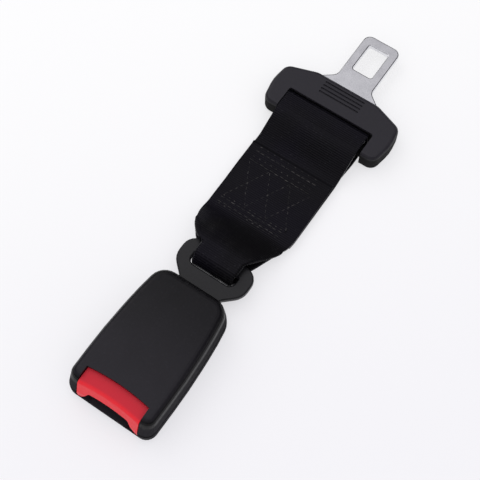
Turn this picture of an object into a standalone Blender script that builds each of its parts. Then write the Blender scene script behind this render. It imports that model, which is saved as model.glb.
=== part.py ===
"""Seat belt extender: a steel tongue in a moulded grip, a short sewn length of webbing and a buckle.

X runs across the belt, Y along it towards the tongue's tip, and Z up from the surface it lies on.
The origin is under the middle of the whole belt. Lengths are in metres.
"""

import math

import bmesh
import bpy
from mathutils import Matrix, Vector
from mathutils.geometry import tessellate_polygon

MM = 0.001

# Running and assembly gaps
GAP = 0.3 * MM
SNUG = 0.2 * MM
ARC_STEP = math.radians(15)
SAME_POINT = 0.001 * MM

# Webbing
WEB_WIDTH = 46.8 * MM
WEB_THICKNESS = 1.25 * MM
WEB_FLOOR = 0.25 * MM
EYE_SPAN = 88.1 * MM
TAIL_FROM_TONGUE_EYE = 24.3 * MM
SEWN_LENGTH = 40.0 * MM
GATHER_WIDTH = 23.2 * MM
GATHER_THICKNESS = 2.0 * MM
GATHER_START = 2.0 * MM
GATHER_END = 20.0 * MM
TONGUE_FOLD_OUT = 3.0 * MM
ANCHOR_FOLD_OUT = 2.3 * MM
WEB_COLUMNS = 9
WEB_STEPS = 9

# Tongue plate
BLADE_WIDTH = 20.6 * MM
BLADE_THICKNESS = 3.0 * MM
BLADE_EDGE = 0.6 * MM
BLADE_CORNER = 4.0 * MM
BLADE_REACH = 35.7 * MM
LATCH_HOLE_WIDTH = 11.2 * MM
LATCH_HOLE_LENGTH = 17.3 * MM
LATCH_HOLE_CORNER = 1.2 * MM
TIP_RIM = 5.2 * MM
SHOULDER_SPREAD = 10.5 * MM
SHOULDER_RISE = 6.0 * MM
SHOULDER_CORNER = 3.0 * MM
PLATE_RIM = 4.0 * MM
PLATE_CORNER = 3.0 * MM

# Tongue grip
GRIP_WIDTH = 70.0 * MM
GRIP_TOP_WIDTH = 35.6 * MM
GRIP_FOOT_WIDTH = 65.4 * MM
GRIP_THICKNESS = 10.5 * MM
GRIP_EDGE = 2.0 * MM
GRIP_BAND = 16.0 * MM
GRIP_TOP_CORNER = 8.0 * MM
GRIP_SIDE_CORNER = 5.0 * MM
GRIP_SIDE_LEAN = 1.5 * MM
GRIP_SIDE_RADIUS = 20.0 * MM
GRIP_SLOPE_DROP = 5.4 * MM
GRIP_WALL = 1.6 * MM
GRIP_FOOT = 1.4 * MM
SLOT_HEIGHT = 5.2 * MM
SLOT_SIDE_GAP = 1.1 * MM
SLOT_CORNER = 1.2 * MM
BAR_DEPTH = 6.2 * MM
BAR_HEIGHT = 5.4 * MM
BAR_CORNER = 2.4 * MM
GROOVE_COUNT = 4
GROOVE_PITCH = 2.1 * MM
GROOVE_LENGTH = 23.0 * MM
GROOVE_WIDTH = 1.0 * MM
GROOVE_DEPTH = 0.6 * MM
GROOVE_FROM_SLOT = 6.3 * MM

# Anchor plate
ANCHOR_THICKNESS = 3.0 * MM
ANCHOR_EDGE = 0.7 * MM
LOBE_RADIUS = 9.0 * MM
LOBE_SPREAD = 10.5 * MM
ANCHOR_BAR_DEPTH = 7.0 * MM
ANCHOR_SLOT_HEIGHT = 6.0 * MM
ANCHOR_SLOT_CORNER = 3.0 * MM
ANCHOR_BAR_CORNER = 0.7 * MM
ANCHOR_SLOT_SIDE_GAP = 0.7 * MM
NECK_WIDTH = 23.0 * MM
NECK_REACH = 19.3 * MM
NECK_CORNER = 3.0 * MM
LOBE_DROP = 7.3 * MM
NECK_FLARE = 12.2 * MM
ANCHOR_TAIL = 21.2 * MM

# Buckle casing
BUCKLE_LENGTH = 70.5 * MM
BUCKLE_WIDTH = 47.6 * MM
FRONT_NARROWING = 0.6 * MM
BACK_NARROWING = 8.5 * MM
BUCKLE_WAIST_AT = 30.0 * MM
BUCKLE_SHOULDER_AT = 55.0 * MM
SHOULDER_SHARE = 0.4
BUCKLE_BACK_CORNER = 9.5 * MM
BUCKLE_FRONT_CORNER = 5.5 * MM
BUCKLE_SIDE_RADIUS = 300.0 * MM
BUCKLE_HEIGHT = 18.4 * MM
BUCKLE_CROWN = 0.7 * MM
PARTING_HEIGHT = 6.6 * MM
PARTING_GAP = 0.3 * MM
PARTING_CHAMFER = 0.5 * MM
COVER_WALL = 1.9 * MM
COVER_TOP = 1.5 * MM
COVER_FLOOR = 1.8 * MM
COVER_EDGE = 3.4 * MM
COVER_DRAFT = 0.7 * MM
LOWER_EDGE = 2.4 * MM
LIP_HEIGHT = 1.4 * MM
LIP_WALL = 0.9 * MM
FRONT_RAKE = 3.2 * MM
RAKE_DEPTH = 16.0 * MM
NECK_GAP = 0.4 * MM

# Press button
CHEEK_WIDTH = 6.75 * MM
BUTTON_TRAVEL = 5.0 * MM
NOTCH_DEPTH = 10.3 * MM
NOTCH_BULGE = 1.3 * MM
BUTTON_SKIN = 1.8 * MM
BUTTON_FRONT_WALL = 2.4 * MM
BUTTON_HIDDEN = 3.0 * MM
BUTTON_NOSE = 2.2 * MM
BUTTON_FOOT = 2.4 * MM
ARCH_TOP_WIDTH = 21.6 * MM
ARCH_FOOT_WIDTH = 29.4 * MM
ARCH_TOP = 9.6 * MM
ARCH_CORNER = 1.6 * MM
ARM_THICKNESS = 2.6 * MM
ARM_FOOT = 10.4 * MM
ARM_PAST_PIN = 2.4 * MM
MOUTH_LIP_TOP = 4.2 * MM
MOUTH_LIP_WIDTH = 20.0 * MM

# Frame
FRAME_IN_BUTTON = 0.9 * MM
FRAME_SHEET = 2.0 * MM
FRAME_BASE = 2.5 * MM
FRAME_LIP_INSET = 3.6 * MM
FRAME_WALL_GAP = 2.6 * MM
WALL_BEHIND_PIVOT = 7.4 * MM
FRAME_LOW_WALL = 13.2 * MM
FRAME_LOW_LENGTH = 11.0 * MM
FRAME_TAIL_INSET = 3.1 * MM
FRAME_TAIL_GAP = 0.7 * MM
FRAME_CORNER = 1.0 * MM
FRAME_FRONT_CORNER = 3.0 * MM
FRAME_END_CORNER = 2.0 * MM
EAR_HEIGHT = 3.2 * MM

# Latch
CHANNEL_HEIGHT = 4.0 * MM
LATCH_SIDE_GAP = 0.7 * MM
LATCH_THICKNESS = 2.5 * MM
LATCH_ARM = 24.1 * MM
LATCH_NOSE = 2.0 * MM
TOOTH_WIDTH = 9.6 * MM
TOOTH_LENGTH = 3.2 * MM
TOOTH_TIP_GAP = 0.35 * MM
TOOTH_FRONT_CORNER = 0.8 * MM
TOOTH_BACK_CORNER = 0.3 * MM
LATCH_BOSS_RADIUS = 2.9 * MM
PIVOT_PIN_RADIUS = 1.4 * MM
PIVOT_FROM_BACK = 18.5 * MM
LOCK_PIN_RADIUS = 1.6 * MM
LOCK_PIN_AHEAD = 12.0 * MM
CAM_DROP = 1.2 * MM
PIN_CHAMFER = 0.3 * MM

# Ejector
EJECTOR_THICKNESS = 3.3 * MM
EJECTOR_LENGTH = 12.0 * MM
EJECTOR_CORNER = 0.8 * MM
FORK_GAP = 11.2 * MM
FORK_DEPTH = 5.6 * MM
TOOTH_IN_FORK = 1.3 * MM
KEEL_WIDTH = 6.8 * MM
KEEL_LENGTH = 6.0 * MM
KEEL_WALL = 1.5 * MM

# Springs
EJECTOR_SPRING_RADIUS = 2.1 * MM
EJECTOR_SPRING_WIRE = 0.6 * MM
BUTTON_SPRING_RADIUS = 1.3 * MM
BUTTON_SPRING_WIRE = 0.5 * MM
SPRING_TURNS = 7
SPRING_SIDES = 6
SPRING_STEPS = 10

# Rivets
RIVET_RADIUS = 2.0 * MM
RIVET_HEAD_RADIUS = 3.6 * MM
RIVET_HEAD_HEIGHT = 1.5 * MM
RIVET_SPREAD = 6.6 * MM
RIVET_FROM_BACK = 9.4 * MM

# Heights of the two bars that the webbing runs round
TONGUE_MID = GRIP_THICKNESS / 2
TONGUE_EYE = TONGUE_MID - WEB_THICKNESS - WEB_FLOOR
FRAME_FLOOR = COVER_FLOOR + GAP
FRAME_TOP = FRAME_FLOOR + FRAME_BASE
ANCHOR_FLOOR = FRAME_TOP + GAP
ANCHOR_MID = ANCHOR_FLOOR + ANCHOR_THICKNESS / 2
ANCHOR_EYE = ANCHOR_MID - GATHER_THICKNESS - 2 * WEB_FLOOR

# Places along the belt, the tongue's measured from its bar and the buckle's from its mouth
SLOT_TOP = BAR_DEPTH / 2 + SLOT_HEIGHT
GRIP_TOP = SLOT_TOP + GRIP_BAND
TIP_REACH = GRIP_TOP + BLADE_REACH
BUCKLE_REACH = BUCKLE_LENGTH + NECK_REACH
TOTAL_LENGTH = TIP_REACH + EYE_SPAN + BUCKLE_REACH
TONGUE_BAR_Y = TOTAL_LENGTH / 2 - TIP_REACH
ANCHOR_BAR_Y = TONGUE_BAR_Y - EYE_SPAN
SLOT_WIDTH = WEB_WIDTH + 2 * SLOT_SIDE_GAP

# Casing, measured inwards from its outline
LIP_INSET = COVER_WALL + COVER_DRAFT + GAP
LOWER_INSET = LIP_INSET + LIP_WALL

# Widths of the button and of what stands between its arms
BUCKLE_FRONT_WIDTH = BUCKLE_WIDTH - FRONT_NARROWING
BUCKLE_BACK_WIDTH = BUCKLE_WIDTH - BACK_NARROWING
BUTTON_WIDTH = BUCKLE_FRONT_WIDTH - 2 * CHEEK_WIDTH
FRAME_WIDTH = BUTTON_WIDTH - 2 * FRAME_IN_BUTTON
ARM_X = FRAME_WIDTH / 2 - FRAME_SHEET - GAP - ARM_THICKNESS / 2
LATCH_WIDTH = 2 * (ARM_X - LATCH_SIDE_GAP) - ARM_THICKNESS
EJECTOR_WIDTH = LATCH_WIDTH - 2 * GAP

# Mechanism, measured from the buckle's mouth and from the surface it lies on
PIVOT_Y = BUCKLE_LENGTH - PIVOT_FROM_BACK
CHANNEL_TOP = FRAME_TOP + CHANNEL_HEIGHT
PIVOT_Z = CHANNEL_TOP + LATCH_BOSS_RADIUS - SNUG
LATCH_TOP = CHANNEL_TOP + LATCH_THICKNESS
LOCK_PIN_Y = PIVOT_Y - LOCK_PIN_AHEAD
LOCK_PIN_Z = LATCH_TOP + GAP + LOCK_PIN_RADIUS
TOOTH_Y = PIVOT_Y - LATCH_ARM
COVER_CEILING = BUCKLE_HEIGHT - BUCKLE_CROWN - COVER_TOP
BUTTON_TOP = COVER_CEILING - GAP
FRAME_WALL_TOP = COVER_CEILING - GAP
FRAME_WALL_AT = BUTTON_FRONT_WALL + BUTTON_TRAVEL + FRAME_WALL_GAP
FRAME_WALL_BACK = PIVOT_Y + WALL_BEHIND_PIVOT
FRAME_BACK = BUCKLE_LENGTH - LOWER_INSET - FRAME_TAIL_GAP
ARM_END = LOCK_PIN_Y + LOCK_PIN_RADIUS + ARM_PAST_PIN
EAR_Y = FRAME_WALL_BACK - FRAME_SHEET
SPRING_LINE_Z = FRAME_WALL_TOP - BUTTON_SPRING_RADIUS - GAP
EJECTOR_Y = TOOTH_Y - TOOTH_LENGTH / 2 - TOOTH_IN_FORK
EJECTOR_SPRING_Z = FRAME_TOP + SNUG + (EJECTOR_THICKNESS - EJECTOR_SPRING_RADIUS) / 2
ANCHOR_TAIL_Y = BUCKLE_LENGTH - ANCHOR_TAIL


def make_material(name, colour, roughness, metallic=0.0):
    """A plain Principled material."""
    material = bpy.data.materials.new(name)
    material.use_nodes = True
    shader = material.node_tree.nodes["Principled BSDF"]
    shader.inputs["Base Color"].default_value = (*colour, 1.0)
    shader.inputs["Roughness"].default_value = roughness
    shader.inputs["Metallic"].default_value = metallic
    material.diffuse_color = (*colour, 1.0)
    return material


def add_empty(name, location, parent=None):
    """An empty that carries the pieces placed from one point."""
    empty = bpy.data.objects.new(name, None)
    empty.location = location
    empty.parent = parent
    bpy.context.scene.collection.objects.link(empty)
    return empty


def add_object(name, mesh_builder, parent, location=(0, 0, 0), material=None):
    """An object made from a bmesh, shaded smooth with its hard edges kept."""
    bmesh.ops.recalc_face_normals(mesh_builder, faces=mesh_builder.faces)
    mesh = bpy.data.meshes.new(name)
    mesh_builder.to_mesh(mesh)
    mesh_builder.free()
    mesh.shade_smooth()
    mesh.set_sharp_from_angle(angle=math.radians(35))
    piece = bpy.data.objects.new(name, mesh)
    piece.location = location
    piece.parent = parent
    if material:
        mesh.materials.append(material)
    bpy.context.scene.collection.objects.link(piece)
    return piece


def as_tool(piece):
    """Marks an object as a shape that only cuts or joins."""
    piece.hide_render = True
    piece.display_type = "WIRE"
    return piece


def combine(piece, tool, operation):
    """Cuts the piece with a tool, or joins the tool to it."""
    modifier = piece.modifiers.new(tool.name, "BOOLEAN")
    modifier.operation = operation
    modifier.object = as_tool(tool)
    return piece


def fillet(corners):
    """Outline through corners (x, y, radius), anticlockwise, each one rounded by an arc."""
    points = []
    for index, (x, y, radius) in enumerate(corners):
        corner = Vector((x, y))
        back = Vector(corners[index - 1][:2]) - corner
        ahead = Vector(corners[(index + 1) % len(corners)][:2]) - corner
        half = back.angle(ahead) / 2
        reach = min(radius / math.tan(half), back.length / 2, ahead.length / 2)
        if reach <= 0:
            points.append(corner)
            continue
        radius = reach * math.tan(half)
        start = back.normalized() * reach
        end = ahead.normalized() * reach
        centre = (start + end).normalized() * (radius / math.sin(half))
        first = math.atan2(*reversed(start - centre))
        sweep = math.remainder(math.atan2(*reversed(end - centre)) - first, math.tau)
        steps = max(2, math.ceil(abs(sweep) / ARC_STEP))
        for step in range(steps + 1):
            angle = first + sweep * step / steps
            points.append(corner + centre + radius * Vector((math.cos(angle), math.sin(angle))))
    return [point for index, point in enumerate(points) if (point - points[index - 1]).length > SAME_POINT]


def triangulate(build, rings):
    """Fills a ring of vertices, less the rings inside it."""
    corners = [vertex for ring in rings for vertex in ring]
    for triangle in tessellate_polygon([[vertex.co / MM for vertex in ring] for ring in rings]):
        build.faces.new([corners[index] for index in triangle])


def mirrored(right_side):
    """Corners of the right side, bottom to top, followed by their mirror images."""
    return right_side + [(-x, y, radius) for x, y, radius in reversed(right_side)]


def box_outline(width, low, high, radius=0.0):
    """A rectangle about the middle line, from low to high."""
    return fillet(mirrored([(width / 2, low, radius), (width / 2, high, radius)]))


def circle(radius, centre=(0, 0), steps=16):
    """A round outline with flat sides that touch its circle's points."""
    turns = [math.tau * (step + 0.5) / steps for step in range(steps)]
    return [Vector((centre[0] + radius * math.cos(a), centre[1] + radius * math.sin(a))) for a in turns]


def inset(points, distance):
    """The outline moved inwards by a distance, or outwards by a negative one."""
    moved = []
    for index, point in enumerate(points):
        before = (point - points[index - 1]).normalized()
        after = (points[(index + 1) % len(points)] - point).normalized()
        normal = Vector((-before.y - after.y, before.x + after.x)).normalized()
        moved.append(point + normal * (distance / (normal.x * -before.y + normal.y * before.x)))
    return moved


def rounded_rows(low, high, low_radius, high_radius, steps=3):
    """Insets and heights of a plate whose rims are rounded."""
    rows = []
    for step in range(steps + 1):
        angle = math.pi / 2 * step / steps
        rows.append((low_radius * (1 - math.sin(angle)), low + low_radius * (1 - math.cos(angle))))
    for step in range(steps + 1):
        angle = math.pi / 2 * step / steps
        rows.append((high_radius * (1 - math.cos(angle)), high - high_radius * (1 - math.sin(angle))))
    return rows


def stack(outline, rows, holes=()):
    """A closed mesh through rows (inset, height) of one outline, with holes right through it."""
    build = bmesh.new()
    ends = ([], [])
    for hole, loop in [(False, outline)] + [(True, list(hole)) for hole in holes]:
        rings = []
        for distance, height in rows:
            ring = inset(loop, -distance if hole else distance)
            rings.append([build.verts.new((point.x, point.y, height)) for point in ring])
        for below, above in zip(rings, rings[1:]):
            for index in range(len(below)):
                quad = (below[index - 1], below[index], above[index], above[index - 1])
                build.faces.new(reversed(quad) if hole else quad)
        ends[0].append(rings[0])
        ends[1].append(rings[-1])
    for rings in ends:
        triangulate(build, rings)
    return build


def plate(outline, low, high, edge=0.0, holes=(), steps=2):
    """A flat plate with lightly rounded rims."""
    rows = rounded_rows(low, high, edge, edge, steps) if edge else [(0, low), (0, high)]
    return stack(outline, rows, holes)


def side_plate(outline, left, right, holes=()):
    """A plate whose outline is drawn in Y and Z and which runs across X."""
    build = plate(outline, left, right, holes=holes)
    build.transform(Matrix(((0, 0, 1, 0), (1, 0, 0, 0), (0, 1, 0, 0), (0, 0, 0, 1))))
    return build


def front_plate(outline, front, back, holes=()):
    """A plate whose outline is drawn in X and Z and which runs along Y."""
    build = plate(outline, front, back, holes=holes)
    build.transform(Matrix(((1, 0, 0, 0), (0, 0, 1, 0), (0, 1, 0, 0), (0, 0, 0, 1))))
    return build


def slice_across(build, axis, places):
    """Adds edges to a mesh where planes across one axis meet it."""
    normal = Vector([1.0 if index == axis else 0.0 for index in range(3)])
    for place in places:
        geometry = build.verts[:] + build.edges[:] + build.faces[:]
        bmesh.ops.bisect_plane(build, geom=geometry, dist=1e-7, plane_co=normal * place, plane_no=normal)


def turned(profile, steps=16):
    """A solid of revolution about Z from a profile (radius, height) that starts and ends on the axis."""
    build = bmesh.new()
    spun = [build.verts.new((radius, 0, height)) for radius, height in profile]
    edges = [build.edges.new(pair) for pair in zip(spun, spun[1:])]
    bmesh.ops.spin(
        build, geom=spun + edges, cent=(0, 0, 0), axis=(0, 0, 1), angle=math.tau, steps=steps, use_merge=True
    )
    bmesh.ops.remove_doubles(build, verts=build.verts, dist=1e-6)
    return build


def cross_pin(radius, length):
    """A round pin along X with chamfered ends."""
    half = length / 2
    profile = [(0, -half), (radius - PIN_CHAMFER, -half), (radius, -half + PIN_CHAMFER)]
    profile += [(radius, half - PIN_CHAMFER), (radius - PIN_CHAMFER, half), (0, half)]
    build = turned(profile)
    bmesh.ops.rotate(build, verts=build.verts, cent=(0, 0, 0), matrix=Matrix.Rotation(math.pi / 2, 3, "Y"))
    return build


def coil(radius, wire, length):
    """A compression spring along +Y, closed ends left plain."""
    build = bmesh.new()
    rings = []
    total = SPRING_TURNS * SPRING_STEPS
    lead = (length - wire) / total
    for step in range(total + 1):
        angle = math.tau * step / SPRING_STEPS
        outward = Vector((math.cos(angle), 0, math.sin(angle)))
        centre = outward * (radius - wire / 2) + Vector((0, wire / 2 + lead * step, 0))
        ring = []
        for side in range(SPRING_SIDES):
            turn = math.tau * side / SPRING_SIDES
            offset = outward * math.cos(turn) + Vector((0, math.sin(turn), 0))
            ring.append(build.verts.new(centre + offset * wire / 2))
        rings.append(ring)
    for before, after in zip(rings, rings[1:]):
        for side in range(SPRING_SIDES):
            build.faces.new((before[side - 1], before[side], after[side], after[side - 1]))
    build.faces.new(rings[0])
    build.faces.new(reversed(rings[-1]))
    return build


def ease(share):
    """A smooth step from 0 to 1."""
    share = min(max(share, 0.0), 1.0)
    return share * share * (3 - 2 * share)


def web_half_width(y):
    """Half the webbing's width, drawn in where it is gathered into the anchor plate's slot."""
    past = y - ANCHOR_BAR_Y - GATHER_START
    share = math.sin(math.pi / 2 * min(max(past / (GATHER_END - GATHER_START), 0.0), 1.0))
    return (GATHER_WIDTH + (WEB_WIDTH - GATHER_WIDTH) * share) / 2


def web_layer(y):
    """Thickness of one layer of webbing, thicker where its edges fold under at the gather."""
    share = ease((y - ANCHOR_BAR_Y) / GATHER_END)
    return GATHER_THICKNESS + (WEB_THICKNESS - GATHER_THICKNESS) * share


def arc_points(centre, radius, first, last, steps=WEB_STEPS):
    """Points (y, z) along an arc, in degrees."""
    angles = [math.radians(first + (last - first) * step / steps) for step in range(steps + 1)]
    return [Vector((centre[0] + radius * math.cos(a), centre[1] + radius * math.sin(a))) for a in angles]


def run_points(start, end, steps=WEB_STEPS):
    """Points (y, z) along a smooth ramp between two levels."""
    along = end[0] - start[0]
    rise = end[1] - start[1]
    shares = [step / steps for step in range(1, steps)]
    return [Vector((start[0] + along * share, start[1] + rise * ease(share))) for share in shares]


def build_webbing(material):
    """The sewn strip: an eye round each bar, three layers between, and the cut tail as a step."""
    fold_tongue = (TONGUE_BAR_Y + TONGUE_FOLD_OUT, TONGUE_MID)
    fold_anchor = (ANCHOR_BAR_Y - ANCHOR_FOLD_OUT, ANCHOR_MID)
    outer_tongue = TONGUE_EYE + WEB_THICKNESS
    outer_anchor = ANCHOR_EYE + GATHER_THICKNESS
    tail_y = TONGUE_BAR_Y - TAIL_FROM_TONGUE_EYE
    sewn_end = tail_y - SEWN_LENGTH
    two_layers = WEB_FLOOR + 2 * WEB_THICKNESS
    three_layers = WEB_FLOOR + 3 * WEB_THICKNESS
    bar_front = (TONGUE_BAR_Y - BAR_DEPTH / 2, TONGUE_MID + outer_tongue)
    tail_foot = (tail_y + WEB_THICKNESS / 2, two_layers)
    plate_back = (ANCHOR_BAR_Y + ANCHOR_BAR_DEPTH / 2, ANCHOR_MID + outer_anchor)
    gathered = ANCHOR_BAR_Y + GATHER_START

    outline = arc_points(fold_tongue, outer_tongue, -90, 90)
    outline += [Vector(bar_front)] + run_points(bar_front, tail_foot) + [Vector(tail_foot)]
    outline += [Vector((tail_y, three_layers)), Vector((sewn_end, three_layers))]
    outline += run_points((sewn_end, three_layers), plate_back) + [Vector(plate_back)]
    outline += [Vector((gathered, plate_back[1]))]
    outline += arc_points(fold_anchor, outer_anchor, 90, 270)
    outline += [Vector((gathered, WEB_FLOOR))]
    spreading = run_points((gathered, WEB_FLOOR), (ANCHOR_BAR_Y + GATHER_END, WEB_FLOOR))
    outline += spreading + [Vector((ANCHOR_BAR_Y + GATHER_END, WEB_FLOOR))]

    upper_tongue = [bar_front] + [tuple(point) for point in run_points(bar_front, tail_foot)]
    tongue_hole = arc_points(fold_tongue, TONGUE_EYE, -90, 90)
    lower_level = WEB_FLOOR + WEB_THICKNESS
    for y, z in upper_tongue:
        if z - WEB_THICKNESS > lower_level + WEB_FLOOR:
            tongue_hole.append(Vector((y, z - WEB_THICKNESS)))
            last_y = y
    tongue_hole.append(Vector((last_y - WEB_THICKNESS, lower_level + WEB_FLOOR / 2)))

    anchor_hole = [Vector((gathered, ANCHOR_MID - ANCHOR_EYE))] + arc_points(fold_anchor, ANCHOR_EYE, 270, 90)
    anchor_hole.append(Vector((gathered, ANCHOR_MID + ANCHOR_EYE)))
    upper_anchor = [tuple(point) for point in run_points((sewn_end, three_layers), plate_back)] + [plate_back]
    for y, z in reversed(upper_anchor):
        low = WEB_FLOOR + web_layer(y)
        if z - web_layer(y) > low + WEB_FLOOR:
            anchor_hole.append(Vector((y, z - web_layer(y))))
            last_y = y
    anchor_hole.append(Vector((last_y + WEB_THICKNESS, WEB_FLOOR + web_layer(last_y) + WEB_FLOOR)))
    anchor_hole.reverse()

    build = bmesh.new()
    shares = [2 * column / (WEB_COLUMNS - 1) - 1 for column in range(WEB_COLUMNS)]
    sides = ([], [])
    for loop in (outline, list(reversed(tongue_hole)), anchor_hole):
        rings = []
        for share in shares:
            rings.append([build.verts.new((share, point.x, point.y)) for point in loop])
        for left, right in zip(rings, rings[1:]):
            for index in range(len(loop)):
                build.faces.new((left[index - 1], left[index], right[index], right[index - 1]))
        sides[0].append(rings[0])
        sides[1].append(rings[-1])
    for rings in sides:
        triangulate(build, rings)
    slice_across(build, 1, [gathered + (GATHER_END - GATHER_START) * share for share in (0, 0.2, 0.4, 0.6, 0.8)])
    for vertex in build.verts:
        vertex.co.x *= web_half_width(vertex.co.y)
    return add_object("webbing", build, None, material=material)


def tongue_outline():
    """Plan of the tongue plate, from the bar up to the tip."""
    body_half = SLOT_WIDTH / 2 + GRIP_WALL + PLATE_RIM
    foot = -BAR_DEPTH / 2 + GRIP_WALL
    neck = BLADE_WIDTH / 2
    shoulder = GRIP_TOP - GRIP_EDGE
    side = [
        (body_half, foot, PLATE_CORNER),
        (body_half, GRIP_TOP - GRIP_SLOPE_DROP - GRIP_EDGE - GRIP_WALL, PLATE_CORNER),
        (neck + SHOULDER_SPREAD, shoulder, SHOULDER_CORNER),
        (neck, shoulder + SHOULDER_RISE + GRIP_EDGE, BLADE_CORNER),
        (neck, TIP_REACH, BLADE_CORNER),
    ]
    return fillet(mirrored(side))


def tongue_window(margin=0.0):
    """Plan of the opening in the tongue plate round the webbing slot."""
    low = BAR_DEPTH / 2 - GRIP_WALL + margin
    high = SLOT_TOP + GRIP_WALL - margin
    return box_outline(SLOT_WIDTH + 2 * GRIP_WALL - 2 * margin, low, high, GRIP_WALL)


def build_tongue_plate(pivot, material):
    """The stamped steel plate with its latch hole."""
    hole_top = TIP_REACH - TIP_RIM
    latch_hole = box_outline(LATCH_HOLE_WIDTH, hole_top - LATCH_HOLE_LENGTH, hole_top, LATCH_HOLE_CORNER)
    half = BLADE_THICKNESS / 2
    build = plate(tongue_outline(), -half, half, BLADE_EDGE, (tongue_window(), latch_hole))
    return add_object("tongue_plate", build, pivot, material=material)


def build_tongue_grip(pivot, material):
    """The moulded grip, with the webbing slot, its bar, the plate's pocket and the thumb grooves."""
    foot = -BAR_DEPTH / 2 - GRIP_FOOT
    side = [
        (GRIP_FOOT_WIDTH / 2, foot, GRIP_SIDE_CORNER),
        (GRIP_WIDTH / 2, SLOT_TOP, GRIP_SIDE_RADIUS),
        (GRIP_WIDTH / 2 - GRIP_SIDE_LEAN, GRIP_TOP - GRIP_SLOPE_DROP, GRIP_SIDE_CORNER),
        (GRIP_TOP_WIDTH / 2, GRIP_TOP, GRIP_TOP_CORNER),
    ]
    half = GRIP_THICKNESS / 2
    body = plate(fillet(mirrored(side)), -half, half, GRIP_EDGE, steps=4)
    grip = add_object("tongue_grip", body, pivot, material=material)

    deep = GRIP_THICKNESS
    corners = [(SLOT_WIDTH / 2, foot - GRIP_EDGE, 0), (SLOT_WIDTH / 2, SLOT_TOP, SLOT_CORNER)]
    cutter = add_object("slot_cutter", plate(fillet(mirrored(corners)), -deep, deep), pivot)
    combine(grip, cutter, "DIFFERENCE")

    bar = fillet(
        [
            (-BAR_DEPTH / 2, -BAR_HEIGHT / 2, BAR_CORNER),
            (BAR_DEPTH / 2, -BAR_HEIGHT / 2, BAR_CORNER),
            (BAR_DEPTH / 2, BAR_HEIGHT / 2, BAR_CORNER),
            (-BAR_DEPTH / 2, BAR_HEIGHT / 2, BAR_CORNER),
        ]
    )
    reach = SLOT_WIDTH / 2 + GRIP_WALL / 2
    combine(grip, add_object("bar_blank", side_plate(bar, -reach, reach), pivot), "UNION")

    pocket_half = BLADE_THICKNESS / 2 + SNUG
    pocket = plate(inset(tongue_outline(), -SNUG), -pocket_half, pocket_half, holes=(tongue_window(SNUG),))
    combine(grip, add_object("plate_pocket_cutter", pocket, pivot), "DIFFERENCE")

    for index in range(GROOVE_COUNT):
        middle = SLOT_TOP + GROOVE_FROM_SLOT + GROOVE_PITCH * index
        half_groove = GROOVE_WIDTH / 2
        groove = box_outline(GROOVE_LENGTH, middle - half_groove, middle + half_groove, half_groove)
        cutter = add_object(f"groove_cutter_{index + 1}", plate(groove, half - GROOVE_DEPTH, deep), pivot)
        combine(grip, cutter, "DIFFERENCE")
    return grip


def anchor_outline():
    """Plan of the anchor plate, from its tail in the buckle to the two lobes, about its bar."""
    lobe_y = ANCHOR_BAR_DEPTH / 2 - LOBE_RADIUS
    neck = NECK_WIDTH / 2
    tail = -NECK_REACH - ANCHOR_TAIL
    waist = lobe_y - NECK_FLARE
    side = [
        (neck, tail, NECK_CORNER),
        (neck, waist, NECK_CORNER),
        (LOBE_SPREAD + LOBE_RADIUS, waist + LOBE_DROP, LOBE_RADIUS),
        (LOBE_SPREAD + LOBE_RADIUS, ANCHOR_BAR_DEPTH / 2, LOBE_RADIUS),
    ]
    return fillet(mirrored(side))


def build_anchor_plate(pivot, material):
    """The coated plate that the webbing runs round, about the middle of its bar."""
    half = ANCHOR_THICKNESS / 2
    top = -ANCHOR_BAR_DEPTH / 2
    slot_width = GATHER_WIDTH + 2 * ANCHOR_SLOT_SIDE_GAP
    low = top - ANCHOR_SLOT_HEIGHT
    slot_side = [(slot_width / 2, low, ANCHOR_SLOT_CORNER), (slot_width / 2, top, ANCHOR_BAR_CORNER)]
    slot = fillet(mirrored(slot_side))
    holes = [slot]
    for side in (-1, 1):
        centre = (side * RIVET_SPREAD, BUCKLE_LENGTH - BUCKLE_REACH - RIVET_FROM_BACK)
        holes.append(circle(RIVET_RADIUS + SNUG, centre))
    build = plate(anchor_outline(), -half, half, ANCHOR_EDGE, holes)
    return add_object("anchor_plate", build, pivot, material=material)


def casing_outline():
    """Plan of the buckle at its parting line, from the mouth back, with sides that curve in."""
    shoulder = BUCKLE_WIDTH - BACK_NARROWING * SHOULDER_SHARE
    side = [
        (BUCKLE_FRONT_WIDTH / 2, 0, BUCKLE_FRONT_CORNER),
        (BUCKLE_WIDTH / 2, BUCKLE_WAIST_AT, BUCKLE_SIDE_RADIUS),
        (shoulder / 2, BUCKLE_SHOULDER_AT, BUCKLE_SIDE_RADIUS),
        (BUCKLE_BACK_WIDTH / 2, BUCKLE_LENGTH, BUCKLE_BACK_CORNER),
    ]
    return fillet(mirrored(side))


def front_rake(z):
    """How far the buckle's front leans back at a height."""
    return FRONT_RAKE * min(max((z - PARTING_HEIGHT) / (BUCKLE_HEIGHT - PARTING_HEIGHT), 0.0), 1.0)


def neck_cutter(name, low, high, mouth):
    """The way out of the casing's back wall for the anchor plate."""
    outline = box_outline(NECK_WIDTH + 2 * NECK_GAP, low, high)
    inner = BUCKLE_LENGTH - 2 * COVER_EDGE
    return add_object(name, front_plate(outline, inner, BUCKLE_LENGTH + COVER_EDGE), mouth)


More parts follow.
